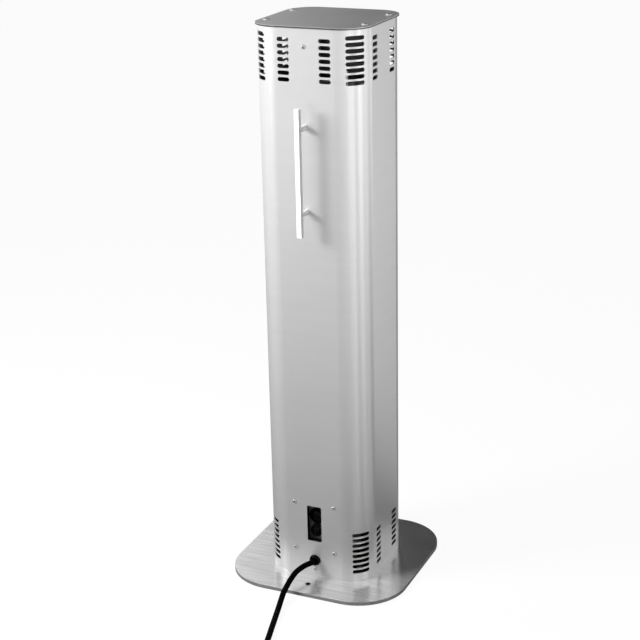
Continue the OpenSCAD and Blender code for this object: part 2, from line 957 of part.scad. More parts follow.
// Puts a piece that points up onto the switch plate's face, pointing out
module on_plate(z, out = 0) {
    translate([0, plate_y + out, z])
        rotate([-90, 0, 0])
            children();
}

module rocker_housing() {
    color("black")
        difference() {
            on_plate(rocker_z) {
                cylinder(h = bezel_t, d = rocker_bezel_d);
                translate([0, 0, -rocker_barrel_len])
                    cylinder(h = rocker_barrel_len, d = rocker_barrel_d);
            }
            on_plate(rocker_z, -pivot_in - rocker_cavity)
                cylinder(h = pivot_in + rocker_cavity + bezel_t + over,
                    d = rocker_cap_d + 2 * rocker_swing_gap);
            on_plate(rocker_z, -pivot_in)
                rotate([0, 90, 0])
                    cylinder(h = pin_len, d = pin_d + 2 * pin_seat_gap, center = true);
        }
}

module rocker_pin() {
    color("silver")
        on_plate(rocker_z, -pivot_in)
            rotate([0, 90, 0])
                cylinder(h = pin_len - play, d = pin_d, center = true);
}

// Booted rocker at rest, with its lower end pressed in
module rocker_cap() {
    color("black")
        on_plate(rocker_z, -pivot_in)
            rotate([-rocker_tilt, 0, 0])
                difference() {
                    intersection() {
                        translate([0, 0, -rocker_cap_in])
                            cylinder(h = rocker_cap_in + rocker_cap_out, d = rocker_cap_d);
                        translate([0, 0, rocker_cap_out - rocker_dome_r])
                            sphere(rocker_dome_r);
                    }
                    rotate([0, 90, 0])
                        cylinder(h = rocker_cap_d + 2 * over, d = pin_d + 2 * run_gap,
                            center = true);
                }
}

module push_housing() {
    cavity = push_cap_in + push_travel + push_bottom_gap;
    color("black")
        on_plate(push_z)
            difference() {
                union() {
                    cylinder(h = push_bezel_t, d = push_bezel_d);
                    translate([0, 0, -push_barrel_len])
                        cylinder(h = push_barrel_len, d = push_barrel_d);
                }
                translate([0, 0, -cavity])
                    cylinder(h = cavity + push_bezel_t + over, d = push_cap_d + 2 * push_cap_gap);
                translate([0, 0, -push_barrel_len + push_web])
                    cylinder(h = push_barrel_len, d = push_stem_d + 2 * run_gap);
            }
}

module push_nut() {
    color("silver")
        on_plate(push_z, -plate_t - push_nut_h)
            difference() {
                cylinder(h = push_nut_h, d = push_nut_d, $fn = 6);
                translate([0, 0, -over])
                    cylinder(h = push_nut_h + 2 * over, d = push_barrel_d + 2 * screw_gap);
            }
}

// Booted push button at rest, out
module push_cap() {
    color("black")
        on_plate(push_z) {
            intersection() {
                translate([0, 0, -push_cap_in])
                    cylinder(h = push_cap_in + push_cap_out, d = push_cap_d);
                translate([0, 0, push_cap_out - push_dome_r])
                    sphere(push_dome_r);
            }
            translate([0, 0, -push_stem_len])
                cylinder(h = push_stem_len, d = push_stem_d);
        }
}

// Strain relief with a low domed head and a mouth that widens
module cable_gland() {
    bore = cord_d + 2 * bore_gap;
    color("#181818")
        on_back(0, gland_z)
            difference() {
                union() {
                    rotate_extrude()
                        intersection() {
                            union() {
                                square([gland_d / 2 - gland_round, gland_h]);
                                square([gland_d / 2, gland_h - gland_round]);
                                translate([gland_d / 2 - gland_round, gland_h - gland_round])
                                    circle(gland_round);
                            }
                            square([gland_d, gland_h]);
                        }
                    translate([0, 0, -gland_inside])
                        cylinder(h = gland_inside, d = gland_thread_d);
                }
                translate([0, 0, -gland_inside - over])
                    cylinder(h = gland_inside + gland_h + 2 * over, d = bore);
                cylinder(h = gland_h, d1 = bore, d2 = bore + 2 * gland_mouth);
                translate([0, 0, gland_h])
                    cylinder(h = over, d = bore + 2 * gland_mouth);
            }
}

module gland_nut() {
    color("#303030")
        on_back(0, gland_z, -sheet_t - gland_nut_h)
            difference() {
                cylinder(h = gland_nut_h, d = gland_nut_d, $fn = 6);
                translate([0, 0, -over])
                    cylinder(h = gland_nut_h + 2 * over, d = gland_thread_d + 2 * screw_gap);
            }
}

module power_cord() {
    color("#161616")
        cord(cord_route, cord_r);
}

// Outer shape of the coiled cord, with its turns beside and on each other
module cord_coil() {
    color("#161616")
        translate([coil_x, coil_y, coil_layers * cord_r])
            rotate_extrude()
                translate([(coil_in_r + coil_out_r) / 2, 0])
                    round_rect(coil_out_r - coil_in_r + cord_d, coil_layers * cord_d, cord_r);
}

module plug_lead() {
    color("#161616")
        cord(lead_route, cord_r);
}

// Puts the plug, whose axis points from its sleeve to its pins, where it lies
module lay_plug() {
    translate([plug_x, plug_y, sleeve_r * cos(plug_lean)])
        rotate([0, 0, plug_turn])
            rotate([0, 90 - plug_lean, 0])
                children();
}

module plug_body() {
    grip_z = sleeve_len + grip_len;
    face_z = grip_z + flare_len;
    color("#1c1c1c")
        lay_plug()
            difference() {
                union() {
                    cylinder(h = sleeve_len, r1 = sleeve_r, r2 = sleeve_end_r);
                    translate([0, 0, sleeve_len])
                        cylinder(h = grip_len, r1 = grip_r, r2 = grip_end_r);
                    translate([0, 0, grip_z])
                        cylinder(h = flare_len, r1 = grip_end_r, r2 = face_r);
                    translate([0, 0, face_z])
                        cylinder(h = face_len, r = face_r);
                }
                for (k = [1 : groove_count])
                    translate([0, 0, k * sleeve_len / (groove_count + 1)])
                        rotate_extrude()
                            translate([sleeve_end_r - groove_deep, -groove_w / 2])
                                square([groove_deep + over, groove_w]);
                for (s = [-1, 1])
                    translate([s * face_r, 0, face_z + face_len / 2])
                        cube([2 * earth_clip_t, earth_clip_w, face_len + over], center = true);
            }
}

module plug_pins() {
    face_z = sleeve_len + grip_len + flare_len;
    color("silver")
        lay_plug() {
            for (s = [-1, 1]) {
                translate([0, s * plug_pin_pitch / 2, face_z + face_len])
                    cylinder(h = plug_pin_len, d = plug_pin_d);
                translate([s * (face_r - earth_clip_t / 2), 0, face_z + face_len / 2])
                    cube([earth_clip_t, earth_clip_w, face_len - over], center = true);
            }
        }
}

// Places of the trim screws on the front
module at_trim_screws(out = 0) {
    for (sx = [-1, 1], z = [window_z0 - trim_screw_drop, window_z1 + trim_screw_drop])
        on_front(sx * (window_w / 2 - trim_screw_inset), z, out)
            children();
}

// Trim round the window: a flange on the casing and a lip back to the reflector
module window_trim() {
    hole_r = window_r - play - trim_t;
    color("lightgray")
        difference() {
            union() {
                stand_up(-half - trim_t, -half)
                    translate([0, window_mid])
                        round_rect(window_w + 2 * trim_side, window_h + 2 * trim_end, trim_corner);
                stand_up(-half, reflector_front)
                    translate([0, window_mid])
                        round_rect(window_w - 2 * play, window_h - 2 * play, window_r - play);
            }
            stand_up(-half - trim_t - over, reflector_front + over)
                translate([0, window_mid])
                    round_rect(trim_hole_w, trim_hole_h, hole_r);
            at_trim_screws(-over)
                cylinder(h = trim_t + 2 * over, d = m3_d + 2 * screw_gap);
        }
}

module trim_screws() {
    color("silver")
        at_trim_screws(trim_t)
            dome_screw(m3_d, m3_len, m3_head_d, m3_head_h);
}

// Flat frame with round bars welded across it
module guard_grille() {
    hole_h = guard_h - 2 * guard_strip_w;
    bars = floor(hole_h / guard_pitch);
    bar_y = guard_in + guard_strip_t / 2 - half;
    corner = window_r - play - trim_t;
    color("silver") {
        stand_up(guard_in - half, guard_in + guard_strip_t - half)
            translate([0, window_mid])
                difference() {
                    round_rect(guard_w, guard_h, corner);
                    square([guard_w - 2 * guard_strip_w, hole_h], center = true);
                }
        for (k = [1 : bars - 1])
            translate([0, bar_y, window_mid - hole_h / 2 + k * hole_h / bars])
                rotate([0, 90, 0])
                    cylinder(h = guard_w - 2 * guard_strip_w + 2 * weld, d = guard_bar_d, center = true);
    }
}

// Half-width place and depth of the reflector's folds, and the outward side of its sheet
function fold_x(i) = reflector_half * (2 * i / reflector_folds - 1);
function fold_y(x) = reflector_vertex - reflector_depth * pow(x / reflector_half, 2);
function fold_out(x) = unit([2 * reflector_depth * x / pow(reflector_half, 2), 1]);
function fold(i) = [fold_x(i), fold_y(fold_x(i))];
function trough() = [for (i = [0 : reflector_folds]) fold(i)];
function trough_back() = [for (i = [reflector_folds : -1 : 0])
    fold(i) + reflector_t * fold_out(fold_x(i))];

// Holes for the middle bracket and the middle lamps' leads
module middle_holes(y0, y1) {
    stand_up(y0, y1) {
        translate([0, window_mid])
            square([holder_w + 2 * play, bracket_t + 2 * play], center = true);
        for (s = [-1, 1])
            translate([s * inner_wire_x, mid_wire_z(s)])
                circle(d = wire_d + 2 * wire_hole_gap);
    }
}

function mid_wire_z(s) = window_mid + s * (bracket_t + holder_h) / 2;

module reflector() {
    color("#e8e8e8")
        difference() {
            translate([0, 0, reflector_z0])
                linear_extrude(reflector_z1 - reflector_z0) {
                    polygon(concat(trough(), trough_back()));
                    for (s = [-1, 1])
                        translate([s * (reflector_half + rail_offset + flange_end) / 2
                                + s * reflector_half / 2, reflector_front + reflector_t / 2])
                            square([rail_offset + flange_end, reflector_t], center = true);
                }
            middle_holes(lamp_y, reflector_vertex + 2 * reflector_t + over);
            at_reflector_screws(-reflector_t - over)
                cylinder(h = reflector_t + 2 * over, d = m3_d + 2 * screw_gap);
        }
}

// Places of the screws through the reflector's flanges into the rails
module at_reflector_screws(out = 0) {
    for (sx = [-1, 1], z = [reflector_z0 + reflector_screw_ends, window_mid,
            reflector_z1 - reflector_screw_ends])
        translate([sx * (rail_in + flange_end / 2), reflector_front - out, z])
            rotate([90, 0, 0])
                children();
}

module reflector_screws() {
    color("silver")
        at_reflector_screws()
            dome_screw(m3_d, m3_len, m3_head_d, m3_head_h);
}

// Plates that close the reflector's ends, and the box round the middle holders
module reflector_ends() {
    zs = [reflector_z0, mid_low_base - plate_gap - plate_thick, mid_high_top + plate_gap,
        reflector_z1 - plate_thick];
    color("#e0e0e0") {
        difference() {
            for (z = zs)
                translate([0, 0, z])
                    linear_extrude(plate_thick)
                        polygon(trough());
            translate([0, lamp_y, reflector_z0 - over])
                cylinder(h = reflector_z1 - reflector_z0 + 2 * over, d = tube_d + 2 * tube_hole_gap);
        }
        translate([0, 0, zs[1] + plate_thick])
            linear_extrude(zs[2] - zs[1] - plate_thick)
                intersection() {
                    polygon(trough());
                    translate([0, reflector_front + plate_thick / 2])
                        square([2 * reflector_half, plate_thick], center = true);
                }
    }
}

// Channel behind the reflector, between the rails
module heat_shield() {
    color("lightsteelblue")
        difference() {
            translate([0, 0, reflector_z0 - shield_over])
                linear_extrude(reflector_z1 - reflector_z0 + 2 * shield_over) {
                    translate([-shield_half, shield_front])
                        square([2 * shield_half, shield_t]);
                    for (s = [-1, 1])
                        translate([s * (shield_half - shield_t / 2), shield_back - shield_side / 2])
                            square([shield_t, shield_side], center = true);
                }
            stand_up(shield_front - over, shield_back + over)
                for (s = [-1, 1])
                    translate([s * inner_wire_x, mid_wire_z(s)])
                        circle(d = wire_d + 2 * wire_hole_gap);
        }
}

module chassis_rails() {
    color("gainsboro")
        difference() {
            for (s = [-1, 1])
                translate([0, 0, rail_z0])
                    linear_extrude(rail_z1 - rail_z0) {
                        translate([s * (rail_in + rail_leg / 2), rail_front + rail_t / 2])
                            square([rail_leg, rail_t], center = true);
                        translate([s * (rail_out - rail_t / 2), rail_front + rail_depth / 2])
                            square([rail_t, rail_depth], center = true);
                    }
            at_reflector_screws(-reflector_t - rail_t - over)
                cylinder(h = rail_t + 2 * over, d = m3_d + 2 * screw_gap);
        }
}

// Strips that carry the lamp holders: one at each end and one in the middle
module holder_brackets() {
    low_z = low_holder_top - holder_h - bracket_t;
    high_z = high_holder_base + holder_h;
    strip_y = rail_front + rail_t + play;
    color("gainsboro") {
        for (z = [low_z, high_z])
            difference() {
                translate([-shield_half, strip_y, z])
                    cube([2 * shield_half, lamp_y + holder_d / 2 - strip_y, bracket_t]);
                translate([0, lamp_y, z - over])
                    cylinder(h = bracket_t + 2 * over, d = wire_d + 2 * wire_hole_gap);
            }
        translate([-holder_w / 2, lamp_y - holder_d / 2, window_mid - bracket_t / 2])
            cube([holder_w, shield_front - lamp_y + holder_d / 2, bracket_t]);
    }
}

// Lamp holder with its socket open upwards, standing on z = 0
module holder() {
    difference() {
        translate([-holder_w / 2, -holder_d / 2, 0])
            cube([holder_w, holder_d, holder_h]);
        translate([0, 0, holder_h - socket_depth])
            cylinder(h = socket_depth + over, d = lamp_end_d + 2 * play);
    }
}

module lamp_holders() {
    color("ivory") {
        translate([0, lamp_y, low_holder_top - holder_h])
            holder();
        translate([0, lamp_y, mid_low_base + holder_h])
            mirror([0, 0, 1])
                holder();
        translate([0, lamp_y, mid_high_top - holder_h])
            holder();
        translate([0, lamp_y, high_holder_base + holder_h])
            mirror([0, 0, 1])
                holder();
    }
}

// Ends of each lamp: its lowest and highest points
lamp_spans = [
    [low_holder_top - socket_depth + seat_gap, mid_low_base + socket_depth - seat_gap],
    [mid_high_top - socket_depth + seat_gap, high_holder_base + socket_depth - seat_gap],
];

module quartz_tubes() {
    color("lavender")
        for (span = lamp_spans)
            translate([0, lamp_y, span[0] + lamp_end_h])
                linear_extrude(span[1] - span[0] - 2 * lamp_end_h)
                    difference() {
                        circle(d = tube_d);
                        circle(d = tube_d - 2 * tube_wall);
                    }
}

module lamp_ends() {
    color("ivory")
        for (span = lamp_spans, z = [span[0], span[1] - lamp_end_h])
            translate([0, lamp_y, z])
                cylinder(h = lamp_end_h, d = lamp_end_d);
}

// Each filament coil, its leads and the discs that centre it in the tube
module filaments() {
    color("orange")
        for (span = lamp_spans) {
            z0 = span[0] + lamp_end_h;
            z1 = span[1] - lamp_end_h;
            coil_h = z1 - z0 - 2 * filament_end;
            supports = floor(coil_h / support_pitch);
            translate([0, lamp_y, z0])
                cylinder(h = z1 - z0, d = filament_lead_d);
            translate([0, lamp_y, z0 + filament_end])
                cylinder(h = coil_h, d = filament_d);
            for (k = [1 : supports])
                translate([0, lamp_y, z0 + filament_end + k * coil_h / (supports + 1)])
                    cylinder(h = support_t, d = tube_d - 2 * tube_wall - play);
        }
}

module terminal_block() {
    poles = 5;
    screw_hole_d = 4;
    screw_hole_deep = 6;
    color("ivory")
        difference() {
            translate([-block_w / 2, block_front, floor_top])
                cube([block_w, block_d, block_h]);
            for (k = [0 : poles - 1])
                translate([(k - (poles - 1) / 2) * block_w / (poles + 1), block_front,
                        floor_top + block_h / 2])
                    rotate([90, 0, 0])
                        cylinder(h = 2 * screw_hole_deep, d = screw_hole_d, center = true);
        }
}

// Clips that hold the rising wires to the heat shield
module wire_clips() {
    color("#303030")
        for (k = [1 : clip_count])
            difference() {
                translate([-clip_w / 2, shield_back, clip_z(k)])
                    cube([clip_w, harness_gap + clip_grip, clip_h]);
                for (x = [-outer_wire_x, -inner_wire_x, inner_wire_x, outer_wire_x])
                    translate([x, harness_y, clip_z(k) - over])
                        cylinder(h = clip_h + 2 * over, d = wire_d + 2 * screw_gap);
            }
}

function clip_z(k) = reflector_z0 + (k - 1 / 2) * (reflector_z1 - reflector_z0) / clip_count;

module lamp_leads() {
    low_z = low_holder_top - holder_h;
    high_z = high_holder_base + holder_h;
    holder_back = lamp_y + holder_d / 2;
    color("white") {
        wire([[-outer_wire_x, harness_y, block_top], [-outer_wire_x, harness_y, high_z + wire_reach],
            [0, lamp_y, high_z + wire_reach], [0, lamp_y, high_z]], wire_d);
        wire([[outer_wire_x, harness_y, block_top], [outer_wire_x, harness_y, low_z - wire_reach],
            [0, lamp_y, low_z - wire_reach], [0, lamp_y, low_z]], wire_d);
        for (s = [-1, 1])
            wire([[s * inner_wire_x, harness_y, block_top], [s * inner_wire_x, harness_y, mid_wire_z(s)],
                [s * inner_wire_x, holder_back, mid_wire_z(s)]], wire_d);
    }
}

module switch_leads() {
    rocker_back = plate_y - rocker_barrel_len;
    push_back = plate_y - push_barrel_len;
    color("firebrick") {
        wire([[0, rocker_back, rocker_z], [0, switch_wire_y, rocker_z],
            [0, switch_wire_y, block_top]], wire_d);
        wire([[0, push_back, push_z], [0, push_back - switch_wire_x, push_z],
            [switch_wire_x, push_back - 2 * switch_wire_x, push_z],
            [switch_wire_x, switch_wire_y, push_z], [switch_wire_x, switch_wire_y, block_top]], wire_d);
    }
}

// The cord's inner length, from the gland to the terminal block
module supply_lead() {
    gland_back = half - cord_in;
    lead_z = floor_top + block_h / 2;
    lead_x = -outer_wire_x + wire_d;
    fall = gland_z - lead_z;
    color("#161616")
        cord([[0, gland_back, gland_z], [0, gland_back - cord_d, gland_z],
            [0, gland_back - 2 * cord_d, gland_z],
            [lead_x / 4, gland_back - 3 * cord_d, gland_z - fall / 4],
            [lead_x * 3 / 4, block_back + 4 * cord_d, lead_z + fall / 4],
            [lead_x, block_back + 3 * cord_d, lead_z], [lead_x, block_back + 2 * cord_d, lead_z],
            [lead_x, block_back, lead_z]], cord_r);
}

module earth_lead() {
    lead_x = -block_w / 2 + wire_d;
    lead_z = floor_top + earth_lug_t * 2 + wire_d / 2;
    color("yellowgreen")
        wire([[lead_x, block_back, lead_z], [lead_x, block_back + cord_d, lead_z],
            [earth_x, block_back + 2 * cord_d, lead_z], [earth_x, earth_y - earth_lug_r, lead_z]], wire_d);
}

// Weld stud with the earth lead's lug and its nut
module earth_stud() {
    color("goldenrod") {
        translate([earth_x, earth_y, base_top])
            cylinder(h = frame_t + earth_stud_h, d = m5_d);
        translate([earth_x, earth_y, floor_top])
            cylinder(h = 2 * earth_lug_t, r = earth_lug_r);
        translate([earth_x, earth_y, floor_top + 2 * earth_lug_t])
            cylinder(h = earth_nut_h, d = earth_nut_d, $fn = 6);
        translate([earth_x - wire_d / 2, earth_y - earth_lug_r - wire_d, floor_top])
            cube([wire_d, earth_lug_r + wire_d, 2 * earth_lug_t]);
    }
}

// Sealed switch that cuts the power when the heater tips over
module tilt_switch() {
    gap = 6;
    lid_t = 3;
    lid_lip = 1;
    x0 = block_w / 2 + gap;
    color("#404040") {
        translate([x0, block_front, floor_top])
            cube([tilt_w, tilt_w, tilt_h]);
        translate([x0 - lid_lip, block_front - lid_lip, floor_top + tilt_h])
            cube([tilt_w + 2 * lid_lip, tilt_w + 2 * lid_lip, lid_t]);
        translate([x0 - gap, block_front + tilt_w / 2, floor_top + block_h / 2])
            rotate([0, 90, 0])
                cylinder(h = gap, d = wire_d);
    }
}

// Disc on the heat shield's back that cuts the power when it runs too hot
module thermal_cutout() {
    color("goldenrod")
        translate([shield_half - cutout_inset, shield_back, reflector_z1 - cutout_rise])
            rotate([-90, 0, 0]) {
                cylinder(h = cutout_h, d = cutout_d);
                linear_extrude(cutout_flange)
                    slot(cutout_d * 3 / 2, cutout_d / 2);
            }
}

base_plate();
base_pads();
foot_frame();
foot_screws();
foot_nuts();
casing();
casing_screws();
top_frame();
top_cover();
cover_screws();
handle_bar();
handle_posts();
handle_screws();
control_box();
control_screws();
switch_plate();
plate_screws();
rocker_housing();
rocker_pin();
rocker_cap();
push_housing();
push_nut();
push_cap();
cable_gland();
gland_nut();
power_cord();
cord_coil();
plug_lead();
plug_body();
plug_pins();
window_trim();
trim_screws();
guard_grille();
reflector();
reflector_ends();
reflector_screws();
heat_shield();
chassis_rails();
holder_brackets();
lamp_holders();
quartz_tubes();
lamp_ends();
filaments();
terminal_block();
wire_clips();
lamp_leads();
switch_leads();
supply_lead();
earth_lead();
earth_stud();
tilt_switch();
thermal_cutout();
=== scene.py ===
import math

import bmesh
import bpy
from bpy.props import FloatProperty, FloatVectorProperty, IntProperty, PointerProperty
from mathutils import Matrix, Quaternion, Vector


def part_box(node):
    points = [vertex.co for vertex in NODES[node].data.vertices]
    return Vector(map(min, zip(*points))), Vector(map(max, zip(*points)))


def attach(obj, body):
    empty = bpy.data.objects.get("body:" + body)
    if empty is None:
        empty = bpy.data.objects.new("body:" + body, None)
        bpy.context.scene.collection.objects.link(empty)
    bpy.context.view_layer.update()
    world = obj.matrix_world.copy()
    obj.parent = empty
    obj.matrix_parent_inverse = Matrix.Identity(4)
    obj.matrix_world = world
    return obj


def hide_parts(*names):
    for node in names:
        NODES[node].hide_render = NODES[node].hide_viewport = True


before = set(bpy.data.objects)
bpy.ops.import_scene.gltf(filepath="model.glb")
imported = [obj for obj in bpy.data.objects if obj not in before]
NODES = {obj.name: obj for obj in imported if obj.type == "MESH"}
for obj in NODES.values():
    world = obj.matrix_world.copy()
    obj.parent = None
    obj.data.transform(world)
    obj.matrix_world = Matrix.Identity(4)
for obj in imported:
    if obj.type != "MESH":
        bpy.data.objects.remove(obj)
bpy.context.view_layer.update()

bl_info = {
    "name": "Patio heater tower looks",
    "version": (1, 0, 0),
    "blender": (4, 5, 0),
    "location": "View3D > Sidebar > Heater",
    "description": "Dresses the packed infrared patio heater tower with its cord, lamp coils, finishes and studio",
    "category": "Object",
}

MM = 0.001
BLACK = (0.0, 0.0, 0.0)

# The highest level that the studio's lists of levels may hold
HIGHEST_LEVEL = 4

# A new piece's edges are smoothed where its faces meet at less than this angle, in degrees
SMOOTH_BELOW = 40.0

# The photograph's camera: where it stands, how it turns in degrees, and its lens in millimetres
CAMERA_SPOT = (-0.9484, 2.1363, 1.2723)
CAMERA_AZIMUTH, CAMERA_ELEVATION, CAMERA_ROLL = 204.457, 19.898, -1.2
CAMERA_LENS = 86.947


# Shader maths

class Value:
    """A number, colour or vector inside a node tree. Arithmetic on numbers adds Math nodes."""

    def __init__(self, nodes, socket):
        self.nodes = nodes
        self.socket = socket

    def _maths(self, operation, *values):
        return self.nodes.node("ShaderNodeMath", {"operation": operation}, dict(enumerate(values)))

    def __add__(self, other):
        return self._maths("ADD", self, other)

    __radd__ = __add__

    def __sub__(self, other):
        return self._maths("SUBTRACT", self, other)

    def __rsub__(self, other):
        return self._maths("SUBTRACT", other, self)

    def __mul__(self, other):
        return self._maths("MULTIPLY", self, other)

    __rmul__ = __mul__

    def __truediv__(self, other):
        return self._maths("DIVIDE", self, other)

    def __pow__(self, other):
        return self._maths("POWER", self, other)

    def least(self, other):
        return self._maths("MINIMUM", self, other)

    def most(self, other):
        return self._maths("MAXIMUM", self, other)

    def size(self):
        return self._maths("ABSOLUTE", self)

    def fade(self, low, high):
        """0 at low and 1 at high, smooth between them."""
        return self.nodes.node(
            "ShaderNodeMapRange",
            {"interpolation_type": "SMOOTHSTEP"},
            {"Value": self, "From Min": low, "From Max": high},
        )


class Nodes:
    """A node tree being built, of a material or of the world. Every node comes from one method."""

    def __init__(self, tree):
        self.tree = tree
        tree.nodes.clear()

    def fill(self, node, values):
        """Sets a node's sockets, each named by its words or its number, to a Value or a constant."""
        for key, value in values.items():
            if isinstance(key, str):
                key = key.replace("_", " ")
            socket = node.inputs[key]
            if isinstance(value, Value):
                self.tree.links.new(value.socket, socket)
            elif socket.type == "RGBA" and len(value) == 3:
                socket.default_value = (*value, 1.0)
            else:
                socket.default_value = value

    def node(self, kind, settings=None, values=None, out=0):
        """Adds a node and gives back one of its outputs."""
        made = self.tree.nodes.new(kind)
        for name, value in (settings or {}).items():
            if name == "stops":
                ramp = made.color_ramp
                ramp.elements.remove(ramp.elements[1])
                for k, (place, level) in enumerate(value):
                    stop = ramp.elements.new(place) if k else ramp.elements[0]
                    stop.position = place
                    stop.color = (level, level, level, 1.0)
            else:
                setattr(made, name, value)
        self.fill(made, values or {})
        return Value(self, made.outputs[out])

    def point(self, kind="Object"):
        """The point in the heater's own frame, in metres, or another kind of coordinates."""
        return self.node("ShaderNodeTexCoord", out=kind)

    def along(self, kind="Object"):
        """X, Y and Z of the point, as three numbers."""
        split = self.tree.nodes.new("ShaderNodeSeparateXYZ")
        self.fill(split, {0: self.point(kind)})
        return [Value(self, split.outputs[k]) for k in range(3)]

    def stretched(self, scale, turn=(0, 0, 0)):
        """The point with its own scale along X, Y and Z, and turned."""
        return self.node("ShaderNodeMapping", None, {"Vector": self.point(), "Scale": scale, "Rotation": turn})

    def noise(self, scale, detail=2.0, rough=0.5, turn=(0, 0, 0)):
        """Noise with its own number of grains per metre along X, Y and Z."""
        if not hasattr(scale, "__len__"):
            scale = (scale, scale, scale)
        return self.node(
            "ShaderNodeTexNoise", None,
            {"Vector": self.stretched(scale, turn), "Scale": 1.0, "Detail": detail, "Roughness": rough},
        )

    def weave(self, count, distortion, detail):
        """Slanting bands, that many per metre, of woven or braided yarn."""
        return self.node(
            "ShaderNodeTexWave", {"wave_type": "BANDS", "bands_direction": "DIAGONAL"},
            {"Vector": self.stretched((count,) * 3), "Scale": 1.0, "Distortion": distortion, "Detail": detail}, out=1,
        )

    def mix(self, share, one, other):
        """From one colour to the other, by the share."""
        return self.node("ShaderNodeMix", {"data_type": "RGBA"}, {0: share, 6: one, 7: other}, out=2)

    def relief(self, height, depth):
        """Fine relief, its depth in metres."""
        return self.node("ShaderNodeBump", None, {"Height": height, "Distance": depth})

    def round_about(self, x, y, levels):
        """A level for each direction round the heater, in degrees from its back towards its right side."""
        turn = self.node("ShaderNodeMath", {"operation": "ARCTAN2"}, {0: 0 - x, 1: y})
        stops = [((angle + 180) / 360, level / HIGHEST_LEVEL) for angle, level in levels]
        return self.node("ShaderNodeValToRGB", {"stops": stops}, {"Fac": turn / math.tau + 0.5}) * HIGHEST_LEVEL

    def seen(self):
        """1 for a ray from the camera, for one off metal and for one through glass."""
        ray = self.tree.nodes.new("ShaderNodeLightPath")
        return [Value(self, ray.outputs[f"Is {kind} Ray"]) for kind in ("Camera", "Glossy", "Transmission")]


class Finish(Nodes):
    """A material being built, with its shader's sockets set by name."""

    def __init__(self, name, **sockets):
        self.material = bpy.data.materials.new(name)
        self.material.use_nodes = True
        super().__init__(self.material.node_tree)
        self.output = self.tree.nodes.new("ShaderNodeOutputMaterial")
        self.shader = self.tree.nodes.new("ShaderNodeBsdfPrincipled")
        self.tree.links.new(self.shader.outputs[0], self.output.inputs["Surface"])
        self.fill(self.shader, sockets)

    def wear(self, **sockets):
        """Sets the rest of the shader's sockets and gives back the material."""
        self.fill(self.shader, sockets)
        return self.material


def shade(level, tint=(1.0, 1.0, 1.0)):
    """A grey of that level, or a tint of it."""
    return tuple(level * t for t in tint)


# Modelling tools

def deselect():
    """Leaves nothing selected and nothing active."""
    bpy.ops.object.select_all(action="DESELECT")
    bpy.context.view_layer.objects.active = None


def name_it(name):
    """Names the piece just made."""
    piece = bpy.context.view_layer.objects.active
    piece.name = name
    piece.data.name = name
    return piece


def activate(piece):
    """Selects one piece alone and makes it the active one."""
    deselect()
    piece.select_set(True)
    bpy.context.view_layer.objects.active = piece


def edit(piece):
    """Opens a piece in edit mode, ready to pick faces."""
    activate(piece)
    bpy.ops.object.mode_set(mode="EDIT")
    bpy.ops.mesh.select_mode(type="FACE")


def done():
    """Leaves edit mode."""
    bpy.ops.object.mode_set(mode="OBJECT")


def pick(rule):
    """In edit mode, selects the faces that the rule is true for."""
    piece = bpy.context.view_layer.objects.active
    mesh = bmesh.from_edit_mesh(piece.data)
    for group in (mesh.verts, mesh.edges, mesh.faces):
        for item in group:
            item.select_set(False)
    chosen = [face for face in mesh.faces if rule(face)]
    for face in chosen:
        face.select_set(True)
    mesh.select_flush_mode()
    bmesh.update_edit_mesh(piece.data)
    if not chosen:
        raise RuntimeError(f"nothing to pick on {piece.name}")


def modify(piece, kind, **settings):
    """Adds a modifier with these settings and applies it."""
    activate(piece)
    modifier = piece.modifiers.new(kind.title(), kind)
    for name, value in settings.items():
        setattr(modifier, name, value)
    bpy.ops.object.modifier_apply(modifier=modifier.name)


def settle(piece):
    """Puts a finished piece's place into its mesh, turns its faces outwards and smooths its shallow edges."""
    activate(piece)
    bpy.ops.object.transform_apply(location=True, rotation=True, scale=True)
    edit(piece)
    bpy.ops.mesh.select_all(action="SELECT")
    bpy.ops.mesh.remove_doubles(threshold=1e-6)
    bpy.ops.mesh.normals_make_consistent(inside=False)
    done()
    bpy.ops.object.shade_smooth_by_angle(angle=math.radians(SMOOTH_BELOW))
    deselect()


def shift(piece, point, turn=0.0, about="Z"):
    """Turns a piece's mesh about an axis through the origin, in degrees, then moves it to a point."""
    piece.data.transform(Matrix.Translation(point) @ Matrix.Rotation(math.radians(turn), 4, about))


def fit(piece, body, material):
    """Gives a new piece its material and lets it ride on its body."""
    piece.data.materials.clear()
    piece.data.materials.append(material)
    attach(piece, body)
    return piece


def dress(material, *names):
    """Gives CAD nodes their finish."""
    for name in names:
        mesh = NODES[name].data
        mesh.materials.clear()
        mesh.materials.append(material)
        mesh.polygons.foreach_set("material_index", [0] * len(mesh.polygons))


# The cord's route from the bushing to the coil, and from the coil to the plug, in millimetres

CORD_ROUTE = [
    (0, 96, 37), (0.6, 99.5, 37.1), (2.6, 104.5, 37.3), (6, 110.5, 37.2), (10.4, 121, 36.3), (14.6, 131.5, 33.5),
    (17.6, 142, 28.5), (19.4, 153, 22.7), (20.2, 163, 17.6), (20.1, 172.5, 13.2), (18.4, 184, 8.6),
    (13.5, 205, 5.2), (7, 229, 4.6), (-1, 258, 4.6), (-11, 294, 4.6), (-20, 330, 4.6), (-25.6, 357, 4.6),
]
PLUG_LEAD = [(-135.6, 411, 12.8), (-143.4, 406.2, 10), (-151.9, 401.4, 7), (-160.4, 396.5, 5.5), (-162.1, 395.5, 5.5)]

# The coil: its centre, the radii of its outermost and innermost turns, where it starts in degrees, and its turns
COIL_CENTRE = (-89.5, 367.0)
COIL_OUT = 61.0
COIL_IN = 37.6
COIL_START = 14.2
TURNS_IN, TURNS_OUT = 2.5, 2.54


def on_coil(angle, radius):
    """The place on the floor at an angle and a distance from the coil's centre."""
    a = math.radians(angle)
    return COIL_CENTRE[0] + radius * math.cos(a), COIL_CENTRE[1] + radius * math.sin(a)


